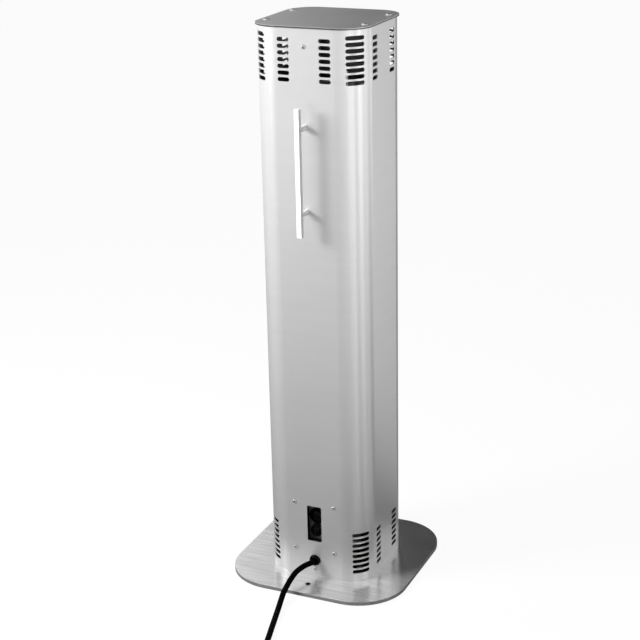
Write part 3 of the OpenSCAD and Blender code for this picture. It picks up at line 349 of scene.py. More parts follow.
def coil_points(cord):
    """Two flat layers of turns, the lower one winding in and the upper one winding out on top of it."""
    low, high = cord / 2, 1.5 * cord
    wide = COIL_OUT - COIL_IN
    per_turn = 14
    points = []

    def at(angle, radius, z):
        points.append((*on_coil(angle, radius), z))

    inward = round(TURNS_IN * per_turn)
    for k in range(inward + 1):
        at(COIL_START + 360 * k / per_turn, COIL_OUT - wide * k / inward, low)
    turn = COIL_START + 360 * inward / per_turn
    rise, rise_angle = 4, 90
    for k in range(1, rise):
        at(turn + rise_angle * k / rise, COIL_IN, low + (high - low) * k / rise)
    turn += rise_angle
    outward = round(TURNS_OUT * per_turn)
    for k in range(outward + 1):
        at(turn + 360 * TURNS_OUT * k / outward, COIL_IN + wide * k / outward, high)
    return points


# Properties

class HeaterCordSizes(bpy.types.PropertyGroup):
    """Sizes and colour of the free mains cord"""

    diameter: FloatProperty(
        name="Diameter", description="Outer diameter of the cord", default=0.0092, min=0.007, max=0.011,
        precision=4, unit="LENGTH",
    )
    length: FloatProperty(
        name="Length", description="Length from the bushing to the plug", default=1.97, min=1.7, max=2.0,
        unit="LENGTH",
    )
    tie_width: FloatProperty(
        name="Tie width", description="Width of the strap that holds the coil", default=0.012, min=0.006,
        max=0.02, precision=4, unit="LENGTH",
    )
    colour: FloatVectorProperty(
        name="Rubber", description="Colour of the cord's rubber", default=(0.0008, 0.0008, 0.0008), subtype="COLOR",
        min=0.0, max=1.0,
    )


class HeaterShellColours(bpy.types.PropertyGroup):
    """Finish of the sheet steel outside"""

    steel: FloatVectorProperty(
        name="Steel", description="Colour of the brushed sheet steel", default=(0.8, 0.8, 0.8),
        subtype="COLOR", min=0.0, max=1.0,
    )
    roughness: FloatProperty(
        name="Roughness", description="Roughness of the satin casing", default=0.34, min=0.1, max=0.8,
        subtype="FACTOR",
    )
    grain: FloatProperty(
        name="Grain", description="Width of a brushing line", default=0.0007, min=0.0002, max=0.003,
        precision=4, unit="LENGTH",
    )
    handle: FloatVectorProperty(
        name="Handle", description="Colour of the satin handle", default=(0.96, 0.96, 0.96), subtype="COLOR",
        min=0.0, max=1.0,
    )


class HeaterLampSizes(bpy.types.PropertyGroup):
    """Sizes of the coils inside the quartz lamps"""

    coil_diameter: FloatProperty(
        name="Coil diameter", description="Outer diameter of the wound filament", default=0.0032, min=0.002,
        max=0.006, precision=4, unit="LENGTH",
    )
    wire: FloatProperty(
        name="Wire", description="Diameter of the filament wire", default=0.0005, min=0.0003, max=0.001,
        precision=5, unit="LENGTH",
    )
    turns: IntProperty(
        name="Turns", description="Turns of wire in each lamp", default=180, min=60, max=300,
    )


class HeaterStageLevels(bpy.types.PropertyGroup):
    """Levels of the studio light"""

    key: FloatProperty(
        name="Key", description="Power of the soft light to the left of the camera, for matt surfaces", default=50.0,
        min=0.0, max=400.0, subtype="POWER",
    )
    panel: FloatProperty(
        name="Panel", description="Power of the wide panel beyond the key light, which the metal mirrors", default=8.0,
        min=0.0, max=400.0, subtype="POWER",
    )
    glint: FloatProperty(
        name="Glint", description="Power of the small light that glints on black rubber", default=14.0, min=0.0,
        max=100.0, subtype="POWER",
    )
    fill: FloatProperty(
        name="Fill", description="Power of the soft light behind the camera, to its right", default=2.5, min=0.0,
        max=400.0, subtype="POWER",
    )
    side: FloatProperty(
        name="Side", description="Power of the soft light at the heater's right side", default=3.0, min=0.0,
        max=400.0, subtype="POWER",
    )
    board: FloatProperty(
        name="Boards", description="Brightness of the white boards beyond the heater", default=0.8, min=0.0,
        max=2.0,
    )
    world: FloatProperty(
        name="Room", description="Brightness of the room round the heater", default=1.0, min=0.0, max=2.0,
    )
    floor: FloatVectorProperty(
        name="Floor", description="Colour of the floor", default=(0.4, 0.4, 0.4), subtype="COLOR", min=0.0,
        max=1.0,
    )


# Operators

class HEATER_OT_camera(bpy.types.Operator):
    """Set up the camera at the photograph's viewing angle"""

    bl_idname = "heater.camera"
    bl_label = "Camera"

    def execute(self, context):
        deselect()
        bpy.ops.object.camera_add(location=CAMERA_SPOT)
        camera = context.object
        camera.name = "photo_camera"
        camera.rotation_mode = "QUATERNION"
        camera.rotation_quaternion = (
            Quaternion((0, 0, 1), math.radians(CAMERA_AZIMUTH))
            @ Quaternion((1, 0, 0), math.radians(90 - CAMERA_ELEVATION))
            @ Quaternion((0, 0, 1), math.radians(CAMERA_ROLL))
        )
        camera.data.lens = CAMERA_LENS
        camera.data.sensor_width = 36.0
        camera.data.clip_start = 0.05
        camera.data.clip_end = 100.0
        context.scene.camera = camera
        return {"FINISHED"}


class HEATER_OT_mains_cord(bpy.types.Operator):
    """Lay the mains cord over the base plate and wind the rest into a tied coil"""

    bl_idname = "heater.mains_cord"
    bl_label = "Mains cord"

    def execute(self, context):
        sizes = context.scene.heater_cord
        route = [Vector(p) * MM for p in (*CORD_ROUTE, *coil_points(sizes.diameter / MM), *PLUG_LEAD)]
        curve = bpy.data.curves.new("mains_cord", "CURVE")
        curve.dimensions = "3D"
        curve.resolution_u = 5
        curve.bevel_depth = sizes.diameter / 2
        curve.bevel_resolution = 4
        curve.use_fill_caps = True
        spline = curve.splines.new("BEZIER")
        spline.bezier_points.add(len(route) - 1)
        for k, (knot, point) in enumerate(zip(spline.bezier_points, route)):
            before, after = route[max(k - 1, 0)], route[min(k + 1, len(route) - 1)]
            lean = (after - before) / 6
            knot.handle_left_type = knot.handle_right_type = "FREE"
            knot.co, knot.handle_left, knot.handle_right = point, point - lean, point + lean
        cord = bpy.data.objects.new("mains_cord", curve)
        context.scene.collection.objects.link(cord)
        fit(cord, "heater", cord_rubber(sizes))
        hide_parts("power_cord", "cord_coil", "plug_lead")
        tie = self.tie(sizes)
        return {"FINISHED"}

    def tie(self, sizes):
        """A hook-and-loop strap round one place of the coil, with its tail lapped over."""
        deselect()
        angle, strap, tail, rounding = 48, 0.0007, 0.0006, 0.0002
        slack_across, slack_above = 0.0012, 0.0006
        wide = (COIL_OUT - COIL_IN) * MM + sizes.diameter + slack_across
        high = 2 * sizes.diameter + slack_above
        bpy.ops.mesh.primitive_cylinder_add(vertices=40, radius=1.0, depth=sizes.tie_width, end_fill_type="NOTHING")
        tie = name_it("coil_tie")
        for vertex in tie.data.vertices:
            x, y, z = vertex.co
            reach = (abs(x) ** 5 + abs(y) ** 5) ** -0.2
            vertex.co = (x * reach * wide / 2, y * reach * high / 2, z)
        modify(tie, "SOLIDIFY", thickness=strap, offset=-1.0)
        edit(tie)
        pick(lambda f: f.normal.y > 0.95 and f.calc_center_median().x > wide * 0.12)
        bpy.ops.mesh.extrude_region_shrink_fatten(TRANSFORM_OT_shrink_fatten={"value": tail})
        done()
        modify(tie, "BEVEL", width=rounding, segments=2, limit_method="ANGLE")
        x, y = on_coil(angle, (COIL_OUT + COIL_IN) / 2)
        shift(tie, (0, 0, 0), 90, "X")
        shift(tie, (x * MM, y * MM, high / 2), angle)
        settle(tie)
        return fit(tie, "heater", woven_strap())


class HEATER_OT_lamp_coils(bpy.types.Operator):
    """Wind the filament of each quartz lamp"""

    bl_idname = "heater.lamp_coils"
    bl_label = "Lamp filaments"

    def execute(self, context):
        sizes = context.scene.heater_lamps
        wire = filament_wire()
        low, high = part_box("filaments")
        middle = (low.z + high.z) / 2
        half_gap = 0.0263
        for name, z0, z1 in (("lower", low.z, middle - half_gap), ("upper", middle + half_gap, high.z)):
            coil = self.wind(context, f"filament_{name}", sizes, (0, (low.y + high.y) / 2, z0), z1 - z0)
            fit(coil, "heater", wire)
            if name == "lower":
                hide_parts("filaments")
        return {"FINISHED"}

    def wind(self, context, name, sizes, foot, height):
        """One filament: a wound wire between two straight ends, held in the tube's middle by wire rings."""
        x, y, z0 = foot
        lead = 0.014
        coil_height = height - 2 * lead
        rings, ring_radius, ring_wire = 4, 0.0041, 0.0003
        deselect()
        bpy.ops.mesh.primitive_circle_add(
            vertices=5, radius=sizes.wire / 2, location=((sizes.coil_diameter - sizes.wire) / 2, 0, 0),
            rotation=(math.pi / 2, 0, 0),
        )
        coil = name_it(name)
        bpy.ops.object.transform_apply(location=True, rotation=True, scale=True)
        modify(
            coil, "SCREW", axis="Z", angle=math.tau, screw_offset=coil_height / sizes.turns, iterations=sizes.turns,
            steps=9, render_steps=9, use_smooth_shade=True,
        )
        shift(coil, (x, y, z0 + lead))
        ends_and_rings = []
        deselect()
        for z in (z0, z0 + height - lead):
            bpy.ops.mesh.primitive_cylinder_add(
                vertices=10, radius=sizes.wire * 0.9, depth=lead, location=(x, y, z + lead / 2)
            )
            bpy.ops.object.transform_apply(location=True, rotation=True, scale=True)
            ends_and_rings.append(context.object)
        deselect()
        for k in range(1, rings + 1):
            bpy.ops.mesh.primitive_torus_add(
                major_radius=ring_radius, minor_radius=ring_wire, major_segments=28, minor_segments=6,
                location=(x, y, z0 + lead + k * coil_height / (rings + 1)),
            )
            bpy.ops.object.transform_apply(location=True, rotation=True, scale=True)
            ends_and_rings.append(context.object)
        deselect()
        for part in (*ends_and_rings, coil):
            part.select_set(True)
        context.view_layer.objects.active = coil
        bpy.ops.object.join()
        deselect()
        return coil


class HEATER_OT_switch_marks(bpy.types.Operator):
    """Raise the on and off marks of the rocker's rubber cap"""

    bl_idname = "heater.switch_marks"
    bl_label = "Switch marks"

    def execute(self, context):
        boot = boot_rubber("boot_mark_rubber", 0.10)
        low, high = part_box("rocker_cap")
        pivot = (0, 0.075, (low.z + high.z) / 2)
        dome, out, rest_tilt = 0.016, 0.008, 7
        from_middle = 0.0046
        bar_size, rounding = (0.0009, 0.0036, 0.0007), 0.0003
        ring_radius, ring_wire = 0.0016, 0.00042

        def onto(piece, up):
            """Lays a mark's mesh on the dome, at a distance above the cap's middle."""
            shift(piece, (0, 0, dome))
            shift(piece, (0, 0, out - dome), -math.degrees(math.asin(up / dome)), "X")
            shift(piece, (0, 0, 0), -rest_tilt, "X")
            shift(piece, pivot, -90, "X")

        deselect()
        bpy.ops.mesh.primitive_cube_add(size=1.0)
        bar = name_it("rocker_on_mark")
        bar.data.transform(Matrix.Diagonal((*bar_size, 1)))
        modify(bar, "BEVEL", width=rounding, segments=3, limit_method="ANGLE")
        onto(bar, -from_middle)
        settle(bar)
        fit(bar, "rocker", boot)
        deselect()
        bpy.ops.mesh.primitive_torus_add(
            major_radius=ring_radius, minor_radius=ring_wire, major_segments=32, minor_segments=10
        )
        ring = name_it("rocker_off_mark")
        onto(ring, from_middle)
        settle(ring)
        fit(ring, "rocker", boot)
        return {"FINISHED"}


class HEATER_OT_finish_shell(bpy.types.Operator):
    """Give the casing, cover, base plate and handle their metal finishes"""

    bl_idname = "heater.finish_shell"
    bl_label = "Shell finishes"

    def execute(self, context):
        colours = context.scene.heater_shell
        dress(satin_casing(colours), "casing")
        dress(cover_steel(colours), "top_cover")
        dress(plate_steel(colours), "base_plate")
        dress(handle_satin(colours), "handle_bar", "handle_posts")
        dress(pad_rubber(), "base_pads")
        return {"FINISHED"}


class HEATER_OT_finish_hardware(bpy.types.Operator):
    """Give the screws, nuts and inner sheet metal their finishes"""

    bl_idname = "heater.finish_hardware"
    bl_label = "Hardware finishes"

    def execute(self, context):
        dress(
            plated_screw(), "foot_screws", "foot_nuts", "casing_screws", "cover_screws", "handle_screws",
            "control_screws", "plate_screws", "trim_screws", "reflector_screws", "rocker_pin", "push_nut",
        )
        dress(zinc_sheet("zinc_sheet", 0.5), "top_frame", "chassis_rails", "holder_brackets")
        # The foot frame's sheet is painted near black as shade, so it reads dark through the vents.
        dress(zinc_sheet("foot_frame_shade_zinc", 0.1), "foot_frame")
        dress(zinc_sheet("aluminised_sheet", 0.62), "heat_shield")
        dress(zinc_sheet("switch_zinc", 0.5), "switch_plate")
        return {"FINISHED"}


class HEATER_OT_finish_controls(bpy.types.Operator):
    """Give the recess, switches and bushing their plastic and rubber"""

    bl_idname = "heater.finish_controls"
    bl_label = "Control finishes"

    def execute(self, context):
        plastic = moulded_plastic("black_moulded", 0.003, 0.5)
        dress(plastic, "control_box", "rocker_housing", "push_housing", "gland_nut", "tilt_switch", "wire_clips")
        dress(moulded_plastic("bushing_plastic", 0.002, 0.42), "cable_gland")
        dress(boot_rubber("boot_rubber", 0.0), "rocker_cap", "push_cap")
        dress(moulded_plastic("plug_rubber", 0.02, 0.5), "plug_body")
        dress(plated_brass("nickel_pins", (0.72, 0.68, 0.6)), "plug_pins")
        dress(plated_brass("brass_stud", (0.62, 0.45, 0.2)), "earth_stud", "thermal_cutout")
        return {"FINISHED"}


class HEATER_OT_finish_lamps(bpy.types.Operator):
    """Give the window, guard, reflector and lamps their finishes"""

    bl_idname = "heater.finish_lamps"
    bl_label = "Lamp finishes"

    def execute(self, context):
        dress(window_steel(), "window_trim", "guard_grille")
        dress(rolled_aluminium(), "reflector", "reflector_ends")
        dress(glazed_ceramic("ceramic", (0.8, 0.77, 0.7)), "lamp_holders", "lamp_ends")
        dress(glazed_ceramic("block_ceramic", (0.74, 0.7, 0.58)), "terminal_block")
        dress(quartz_glass(), "quartz_tubes")
        return {"FINISHED"}


class HEATER_OT_finish_wiring(bpy.types.Operator):
    """Give the inner wires their sleeves"""

    bl_idname = "heater.finish_wiring"
    bl_label = "Wiring finishes"

    def execute(self, context):
        dress(woven_sleeve("white_sleeve", (0.78, 0.76, 0.7)), "lamp_leads")
        dress(woven_sleeve("red_sleeve", (0.42, 0.04, 0.03)), "switch_leads")
        dress(woven_sleeve("earth_sleeve", (0.12, 0.19, 0.02)), "earth_lead")
        dress(moulded_plastic("inner_cord", 0.015, 0.55), "supply_lead")
        return {"FINISHED"}


class HEATER_OT_stage(bpy.types.Operator):
    """Build the pale floor, the room and the soft lights"""

    bl_idname = "heater.stage"
    bl_label = "Studio"

    def execute(self, context):
        levels = context.scene.heater_stage
        deselect()
        bpy.ops.mesh.primitive_plane_add(size=60)
        floor = name_it("studio_floor")
        floor.data.materials.append(studio_floor(levels))
        key = self.soft_light("key_light", (1.12, 0.98, 1.27), (0, 0, 0.7), (0.65, 0.65), levels.key)
        key.visible_glossy = False
        self.soft_light("key_panel", (2.1, 1.95, 1.9), (0, 0, 0.6), (2.2, 2.2), levels.panel)
        self.soft_light("glint_light", (2.1, 1.95, 1.5), (0, 0, 0.1), (0.14, 0.14), levels.glint)
        self.soft_light("fill_light", (-1.85, 2.36, 1.1), (0, 0, 0.5), (0.7, 1.6), levels.fill)
        self.soft_light("side_light", (-2.96, 0.5, 1.1), (0, 0, 0.5), (0.9, 1.6), levels.side)
        context.scene.world = studio_room(levels)
        context.scene.view_settings.view_transform = "Standard"
        return {"FINISHED"}

    def soft_light(self, name, spot, towards, size, power):
        """An area light at a spot, turned towards a point."""
        deselect()
        bpy.ops.object.light_add(type="AREA", location=spot)
        light = bpy.context.object
        light.name = name
        light.data.shape = "RECTANGLE"
        light.data.size, light.data.size_y = size
        light.data.energy = power
        light.rotation_mode = "QUATERNION"
        light.rotation_quaternion = (Vector(towards) - Vector(spot)).to_track_quat("-Z", "Y")
        light.visible_camera = False
        return light


# Finishes

def satin_casing(colours):
    """Satin sheet steel, brushed round the casing, with faint handling marks; its inner side is painted dark as shade.
    """
    made = Finish("satin_casing", Metallic=0.72, Anisotropic=0.6, Anisotropic_Rotation=0.25)
    z = made.along()[2]
    lines = 1 / colours.grain
    fine = made.noise((9, 9, lines), 2.0, 0.6)
    bands = made.noise((1.2, 1.2, 60), 2.0)
    cloud = made.noise(9, 3.0)
    speck = made.noise(2600, 1.0)
    rub = made.noise((24, 24, 5), 3.0, 0.6, (0.3, 0.2, 0)).fade(0.6, 0.8)
    scuff = made.noise((30, 30, 900), 2.0, 0.6, (0.1, 0.5, 0.2)).fade(0.68, 0.76) * (1 - z.fade(0.02, 0.22))
    tone = 0.93 + (fine - 0.5) * 0.07 + (bands - 0.5) * 0.05 + (cloud - 0.5) * 0.05 + (speck - 0.5) * 0.03
    outward = made.node(
        "ShaderNodeVectorMath", {"operation": "DOT_PRODUCT"}, {0: made.point("Normal"), 1: made.stretched((1, 1, 0))},
        out=1,
    )
    # The inner side is painted dark as shade, so the inside of the casing reads black through the slots.
    inside = 1 - outward.fade(-0.02, -0.01)
    tone = (tone - scuff * 0.08) * (1 - inside * 0.72)
    return made.wear(
        Base_Color=made.mix(tone, BLACK, tuple(colours.steel)),
        Roughness=colours.roughness + (fine - 0.5) * 0.1 + (cloud - 0.5) * 0.05 + rub * 0.04 + scuff * 0.1,
        Normal=made.relief(fine * 0.8 + speck * 0.2, 0.00003),
    )


def cover_steel(colours):
    """The top cover: the same sheet brushed across, a little duller, with its rim much darker."""
    made = Finish("cover_steel", Metallic=0.8)
    lines = 1 / colours.grain
    fine = made.noise((9, lines, lines), 2.0, 0.6)
    cloud = made.noise(14, 3.0)
    speck = made.noise(1800, 2.0)
    edge = 1 - made.along()[2].fade(0.9088, 0.9093)
    tone = 0.92 + (fine - 0.5) * 0.12 + (cloud - 0.5) * 0.1 + (speck - 0.5) * 0.1
    return made.wear(
        Base_Color=made.mix(tone * (1 - edge * 0.88), BLACK, tuple(colours.steel)),
        Roughness=0.36 + (fine - 0.5) * 0.12 + (cloud - 0.5) * 0.06,
        Normal=made.relief(fine + speck * 0.5, 0.00004),
    )


def plate_steel(colours):
    """The heavy base plate: coarse brushing along its width, a few scratches, dull edges, and its anchor holes painted
    dark as shade.
    """
    made = Finish("plate_steel", Metallic=0.74)
    x, y, z = made.along()
    fine = made.noise((8, 800, 800), 3.0, 0.65)
    coarse = made.noise((14, 240, 240), 2.0, 0.6)
    cloud = made.noise(11, 3.0)
    scratch = made.noise((34, 420, 60), 2.0, 0.55, (0, 0, 0.12)).fade(0.66, 0.74)
    edge = 1 - z.fade(0.0066, 0.0079)
    beside = y.size() - 0.12
    # The walls of the anchor holes are painted dark as shade.
    painted_hole_shade = 1 - ((x * x + beside * beside) ** 0.5).fade(0.0042, 0.0048)
    bright = tuple(min(1.0, 1.22 * c) for c in colours.steel)
    tone = 0.82 + (fine - 0.5) * 0.5 + (coarse - 0.5) * 0.45 + (cloud - 0.5) * 0.08 + scratch * 0.06 - edge * 0.28
    return made.wear(
        Base_Color=made.mix(tone * (1 - painted_hole_shade * 0.9), BLACK, bright),
        Roughness=0.19 + (fine - 0.5) * 0.1 + (cloud - 0.5) * 0.06 + edge * 0.15 + painted_hole_shade * 0.3,
        Normal=made.relief(fine * 0.7 + coarse * 0.3, 0.00015),
    )


def handle_satin(colours):
    """Bead-blasted, clear-coated bar stock."""
    made = Finish("handle_satin", Metallic=0.0, Coat_Roughness=0.3)
    blast = made.noise(2200, 2.0)
    cloud = made.noise(22, 2.0)
    grip = made.noise((60, 60, 14), 3.0, 0.6).fade(0.55, 0.75)
    return made.wear(
        Base_Color=made.mix(0.98 + (blast - 0.5) * 0.06 + (cloud - 0.5) * 0.06, BLACK, tuple(colours.handle)),
        Roughness=0.42 + (blast - 0.5) * 0.1 - grip * 0.06,
        Coat_Weight=0.1 + grip * 0.1,
        Normal=made.relief(blast, 0.00002),
    )


def plated_screw():
    """Plated screws with turned lines, and their drive recesses painted dark as shade."""
    made = Finish("plated_screw", Metallic=0.75)
    turned_lines = made.noise(3000, 2.0)
    cloud = made.noise(160, 3.0, 0.6)
    # Ambient occlusion paints the drive recesses dark as shade.
    open_air = made.node("ShaderNodeAmbientOcclusion", {"samples": 8}, {"Distance": 0.0015}, out=1)
    recess_shade = 0.05 + 0.95 * open_air.fade(0.7, 0.97)
    tone = (0.9 + (cloud - 0.5) * 0.2 + (turned_lines - 0.5) * 0.1) * recess_shade
    return made.wear(
        Base_Color=made.mix(tone, BLACK, shade(0.8, (1, 1, 1.01))),
        Roughness=0.3 + (cloud - 0.5) * 0.16,
        Normal=made.relief(turned_lines, 0.00002),
    )


def zinc_sheet(name, level):
    """Galvanised sheet: soft crystals of slightly different grey."""
    made = Finish(name, Metallic=0.9)
    spangle = made.node(
        "ShaderNodeTexVoronoi", None, {"Vector": made.stretched((130, 130, 130), (0.4, 0.2, 0.1)), "Scale": 1.0},
        out="Color",
    )
    crystal = made.node("ShaderNodeSeparateColor", None, {0: spangle})
    fine = made.noise(900, 2.0)
    cloud = made.noise(16, 3.0)
    tone = 0.82 + (crystal - 0.5) * 0.18 + (fine - 0.5) * 0.08 + (cloud - 0.5) * 0.12
    return made.wear(
        Base_Color=made.mix(tone, BLACK, shade(level, (0.99, 1.0, 1.02))),
        Roughness=0.4 + (crystal - 0.5) * 0.12,
        Normal=made.relief(fine, 0.00002),
    )


def moulded_plastic(name, level, rough):
    """Black moulded plastic with a fine spark-eroded grain and dust in its hollows."""
    made = Finish(name, IOR=1.48, Specular_IOR_Level=0.06)
    grain = made.noise(1900, 2.0, 0.6)
    cloud = made.noise(30, 3.0)
    dust = made.noise(420, 3.0, 0.7).fade(0.62, 0.85)
    return made.wear(
        Base_Color=made.mix(dust * 0.35, shade(level), shade(level * 2.6)),
        Roughness=rough + (grain - 0.5) * 0.14 + (cloud - 0.5) * 0.08 + dust * 0.08,
        Normal=made.relief(grain, 0.00004),
    )


def boot_rubber(name, lift):
    """The switches' rubber boots: smooth, with a greasy sheen. A lift makes them paler."""
    made = Finish(name, IOR=1.5, Specular_IOR_Level=0.1)
    grain = made.noise(1400, 2.0)
    cloud = made.noise(120, 2.0)
    wear = made.noise(260, 3.0, 0.6).fade(0.5, 0.8)
    return made.wear(
        Base_Color=made.mix(wear * 0.3 + lift, shade(0.001), shade(0.012)),
        Roughness=0.18 + (grain - 0.5) * 0.08 + (cloud - 0.5) * 0.08,
        Normal=made.relief(grain, 0.00003),
    )


def cord_rubber(sizes):
    """Matte rubber sheath with the faint lay of the cores under it."""
    made = Finish("cord_rubber", IOR=1.5, Specular_IOR_Level=0.02)
    grain = made.noise(2400, 2.0)
    lay = made.noise(90, 2.0)
    dust = made.noise(260, 3.0, 0.7).fade(0.6, 0.85)
    return made.wear(
        Base_Color=made.mix(dust * 0.3 + lay * 0.1, tuple(sizes.colour), shade(0.004)),
        Roughness=0.46 + (grain - 0.5) * 0.12 + (lay - 0.5) * 0.1,
        Normal=made.relief(grain * 0.5 + lay * 0.5, 0.00005),
    )


def woven_strap():
    """Black woven strap with its loops."""
    made = Finish("woven_strap", Roughness=0.85)
    weave = made.weave(900, 1.5, 2.0)
    fluff = made.noise(2600, 3.0)
    return made.wear(
        Base_Color=made.mix(weave * 0.5 + fluff * 0.3, shade(0.01), shade(0.045)),
        Normal=made.relief(weave + fluff * 0.5, 0.00015),
    )


def window_steel():
    """The front frame and guard: heat-tinted brushed steel."""
    made = Finish("window_steel", Metallic=1.0)
    from_middle = made.along()[0].size()
    fine = made.noise((1300, 1300, 10), 2.0, 0.6)
    cloud = made.noise(14, 3.0)
    heat = (1 - from_middle.fade(0.01, 0.042)) * made.noise((20, 20, 60), 2.0).fade(0.35, 0.75)
    steel = made.mix(0.9 + (fine - 0.5) * 0.1 + (cloud - 0.5) * 0.1, BLACK, (0.66, 0.66, 0.67))
    return made.wear(
        Base_Color=made.mix(heat * 0.5, steel, (0.52, 0.43, 0.3)),
        Roughness=0.3 + (fine - 0.5) * 0.12 + (cloud - 0.5) * 0.06,
        Normal=made.relief(fine, 0.00003),
    )


def rolled_aluminium():
    """Bright rolled aluminium with fine rolling lines."""
    made = Finish("rolled_aluminium", Metallic=1.0)
    roll = made.noise((700, 700, 5), 2.0)
    dent = made.noise(26, 2.0)
    haze = made.noise((40, 40, 14), 3.0, 0.6).fade(0.5, 0.8)
    return made.wear(
        Base_Color=made.mix(0.92 + (roll - 0.5) * 0.08 - haze * 0.1, BLACK, (0.88, 0.88, 0.89)),
        Roughness=0.14 + (roll - 0.5) * 0.08 + haze * 0.12,
        Normal=made.relief(dent * 0.8 + roll * 0.2, 0.0002),
    )


def glazed_ceramic(name, colour):
    """Steatite: a fine pale grain with darker firing specks."""
    made = Finish(name, IOR=1.55)
    grain = made.noise(1500, 2.0)
    speck = made.noise(700, 2.0, 0.4).fade(0.72, 0.8)
    cloud = made.noise(60, 2.0)
    dark = tuple(c * 0.55 for c in colour)
    return made.wear(
        Base_Color=made.mix(speck * 0.6 + (cloud - 0.3) * 0.2, colour, dark),
        Roughness=0.48 + (grain - 0.5) * 0.1,
        Normal=made.relief(grain, 0.00004),
    )


def quartz_glass():
    """Clear quartz tube with drawn lines and a faint haze where the coil heats it."""
    made = Finish("quartz_glass", Transmission_Weight=1.0, IOR=1.46)
    drawn = made.noise((500, 500, 4), 2.0)
    haze = made.noise((80, 80, 20), 3.0).fade(0.45, 0.8)
    return made.wear(
        Base_Color=made.mix(haze * 0.5, (1.0, 0.99, 0.98), (0.95, 0.9, 0.86)),
        Roughness=0.02 + haze * 0.1,
        Normal=made.relief(drawn, 0.00002),
    )


def filament_wire():
    """Oxidised resistance wire."""
    made = Finish("oxidised_wire", Metallic=0.85)
    scale = made.noise(1500, 2.0)
    cloud = made.noise(60, 2.0)
    return made.wear(
        Base_Color=made.mix(scale * 0.6 + (cloud - 0.5) * 0.4, (0.12, 0.08, 0.06), (0.4, 0.3, 0.22)),
        Roughness=0.42 + (scale - 0.5) * 0.2,
    )


def plated_brass(name, colour):
    """Bright brass, bare or plated, with duller tarnish."""
    made = Finish(name, Metallic=1.0)
    fine = made.noise(2200, 2.0)
    tarnish = made.noise(220, 3.0, 0.6).fade(0.5, 0.8)
    dull = tuple(c * 0.6 for c in colour)
    return made.wear(
        Base_Color=made.mix(tarnish * 0.6, colour, dull),
        Roughness=0.2 + tarnish * 0.2 + (fine - 0.5) * 0.08,
        Normal=made.relief(fine, 0.00001),
    )


def woven_sleeve(name, colour):
    """Glass-fibre braid over the wires."""
    made = Finish(name, Roughness=0.7)
    braid = made.weave(1100, 0.6, 1.0)
    fluff = made.noise(1800, 2.0)
    return made.wear(
        Base_Color=made.mix(braid * 0.35 + (fluff - 0.5) * 0.2, colour, tuple(c * 0.7 for c in colour)),
        Normal=made.relief(braid, 0.00012),
    )


def pad_rubber():
    """The pads under the base plate: dull rubber with dust."""
    made = Finish("pad_rubber", IOR=1.5)
    grain = made.noise(1300, 3.0)
    dust = made.noise(180, 3.0).fade(0.5, 0.8)
    return made.wear(
        Base_Color=made.mix(dust * 0.5, shade(0.02), shade(0.07)),
        Roughness=0.7 + (grain - 0.5) * 0.2,
        Normal=made.relief(grain, 0.0001),
    )


# Brightness of the studio round the heater, at angles in degrees from its back towards its right side
ROUND_LEVELS = [
    (-180, 0.7), (-170, 0.5), (-163, 0.15), (-157, 0.15), (-152, 0.9), (-130, 1.0), (-105, 1.15), (-80, 1.25),
    (-60, 1.05), (-40, 0.9), (-24, 1.07), (-4, 1.16), (17, 1.7), (37, 1.95), (47, 2.45), (55, 3.25), (61, 1.9),
    (76, 2.1), (82, 3.2), (97, 2.5), (107, 2.95), (117, 2.8), (127, 2.0), (137, 1.6), (143, 2.0), (149, 4.0),
    (155.5, 4.0), (157.5, 0.68), (164, 0.72), (170, 1.4), (180, 0.8),
]

# Brightness of the white boards round the heater, at the same angles
BOARD_LEVELS = [
    (-180, 0.0), (-155.5, 0.0), (-153.7, 0.6), (-151.5, 1.1), (-95, 1.1), (-70, 0.0), (20, 0.0), (50, 0.5),
    (120, 0.6), (150, 1.1), (172, 1.1), (180, 0.0),
]


def studio_floor(levels):
    """A pale floor that the camera sees nearly white, with the heater's soft shadow.

    Metal and glass see it darker near the heater, and as bright as the levels say in each direction.
    """
    made = Finish("studio_floor", Roughness=0.9, Base_Color=tuple(levels.floor))
    straight, mirrored, through = made.seen()
    cloud = made.noise(3, 2.0)
    x, y = made.along()[:2]
    far = (x * x + y * y) ** 0.5
    near = 1 - far.fade(0.3, 1.8)
    to_left, to_front = x / far, 0 - y / far
    sheen = (far * 0.26).least(1.2) * (0.75 + 0.25 * y.fade(-0.3, 0.5))
    sheen = sheen * (1 - 0.5 * far.fade(0.9, 4.5) * to_front.fade(0.78, 0.9))
    sheen = sheen * made.round_about(x, y, ROUND_LEVELS)
    sheen = sheen * (1 - near * 0.6 * to_left + near * 0.3 * to_front.most(0))
    glow = made.node("ShaderNodeEmission", None, {"Strength": straight * 1.1 + mirrored.most(through) * sheen})
    matt = Value(made, made.shader.outputs[0])
    glow_share = straight.most(through).most(mirrored) * 0.86
    blend = made.node("ShaderNodeMixShader", None, {0: glow_share, 1: matt, 2: glow})
    made.fill(made.output, {"Surface": blend})
    return made.wear(Base_Color=made.mix(cloud * 0.3, tuple(levels.floor), shade(0.36)))


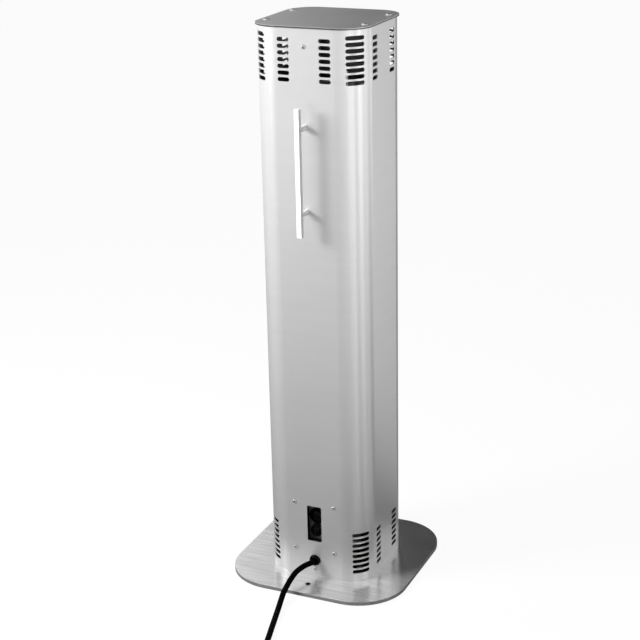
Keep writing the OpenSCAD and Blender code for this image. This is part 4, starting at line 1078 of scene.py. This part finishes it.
def studio_room(levels):
    """White to the camera. To metal and glass a grey room, dark high up beyond the heater, with white boards."""
    world = bpy.data.worlds.new("studio_room")
    world.use_nodes = True
    room = Nodes(world.node_tree)
    straight, mirrored, through = room.seen()
    x, y, z = room.along("Generated")
    front = y.fade(-0.55, 0.45).most((0 - x).fade(0.35, 0.8))
    behind = 0.6 - 0.57 * z.fade(0.13, 0.32)
    grey = levels.world * (behind + (0.34 - behind) * front) * room.round_about(x, y, ROUND_LEVELS).least(1.3)
    board = levels.board * room.round_about(x, y, BOARD_LEVELS) * z.fade(0.3, 0.4)
    strength = straight + (1 - straight) * (grey * (0.6 + 0.4 * mirrored.most(through)) + board * mirrored)
    glow = room.node("ShaderNodeBackground", None, {"Color": shade(1.0), "Strength": strength})
    room.fill(room.tree.nodes.new("ShaderNodeOutputWorld"), {"Surface": glow})
    return world


# Panel

STEPS = (
    HEATER_OT_camera, HEATER_OT_mains_cord, HEATER_OT_lamp_coils, HEATER_OT_switch_marks, HEATER_OT_finish_shell,
    HEATER_OT_finish_hardware, HEATER_OT_finish_controls, HEATER_OT_finish_lamps, HEATER_OT_finish_wiring,
    HEATER_OT_stage,
)


class HEATER_PT_looks(bpy.types.Panel):
    """The heater's sizes, colours and steps"""

    bl_idname = "HEATER_PT_looks"
    bl_label = "Patio heater"
    bl_space_type = "VIEW_3D"
    bl_region_type = "UI"
    bl_category = "Heater"

    def draw(self, context):
        scene = context.scene
        for group in (scene.heater_cord, scene.heater_shell, scene.heater_lamps, scene.heater_stage):
            box = self.layout.box()
            for name in group.__annotations__:
                box.prop(group, name)
        for step in STEPS:
            self.layout.operator(step.bl_idname)


GROUPS = {
    "heater_cord": HeaterCordSizes,
    "heater_shell": HeaterShellColours,
    "heater_lamps": HeaterLampSizes,
    "heater_stage": HeaterStageLevels,
}


def register():
    for kind in (*GROUPS.values(), *STEPS, HEATER_PT_looks):
        bpy.utils.register_class(kind)
    for name, kind in GROUPS.items():
        setattr(bpy.types.Scene, name, PointerProperty(type=kind))


def unregister():
    for name in GROUPS:
        delattr(bpy.types.Scene, name)
    for kind in (HEATER_PT_looks, *reversed(STEPS), *reversed(GROUPS.values())):
        bpy.utils.unregister_class(kind)


def main():
    register()
    bpy.ops.heater.camera()
    bpy.ops.heater.mains_cord()
    bpy.ops.heater.lamp_coils()
    bpy.ops.heater.switch_marks()
    bpy.ops.heater.finish_shell()
    bpy.ops.heater.finish_hardware()
    bpy.ops.heater.finish_controls()
    bpy.ops.heater.finish_lamps()
    bpy.ops.heater.finish_wiring()
    bpy.ops.heater.stage()


if __name__ == "__main__":
    main()
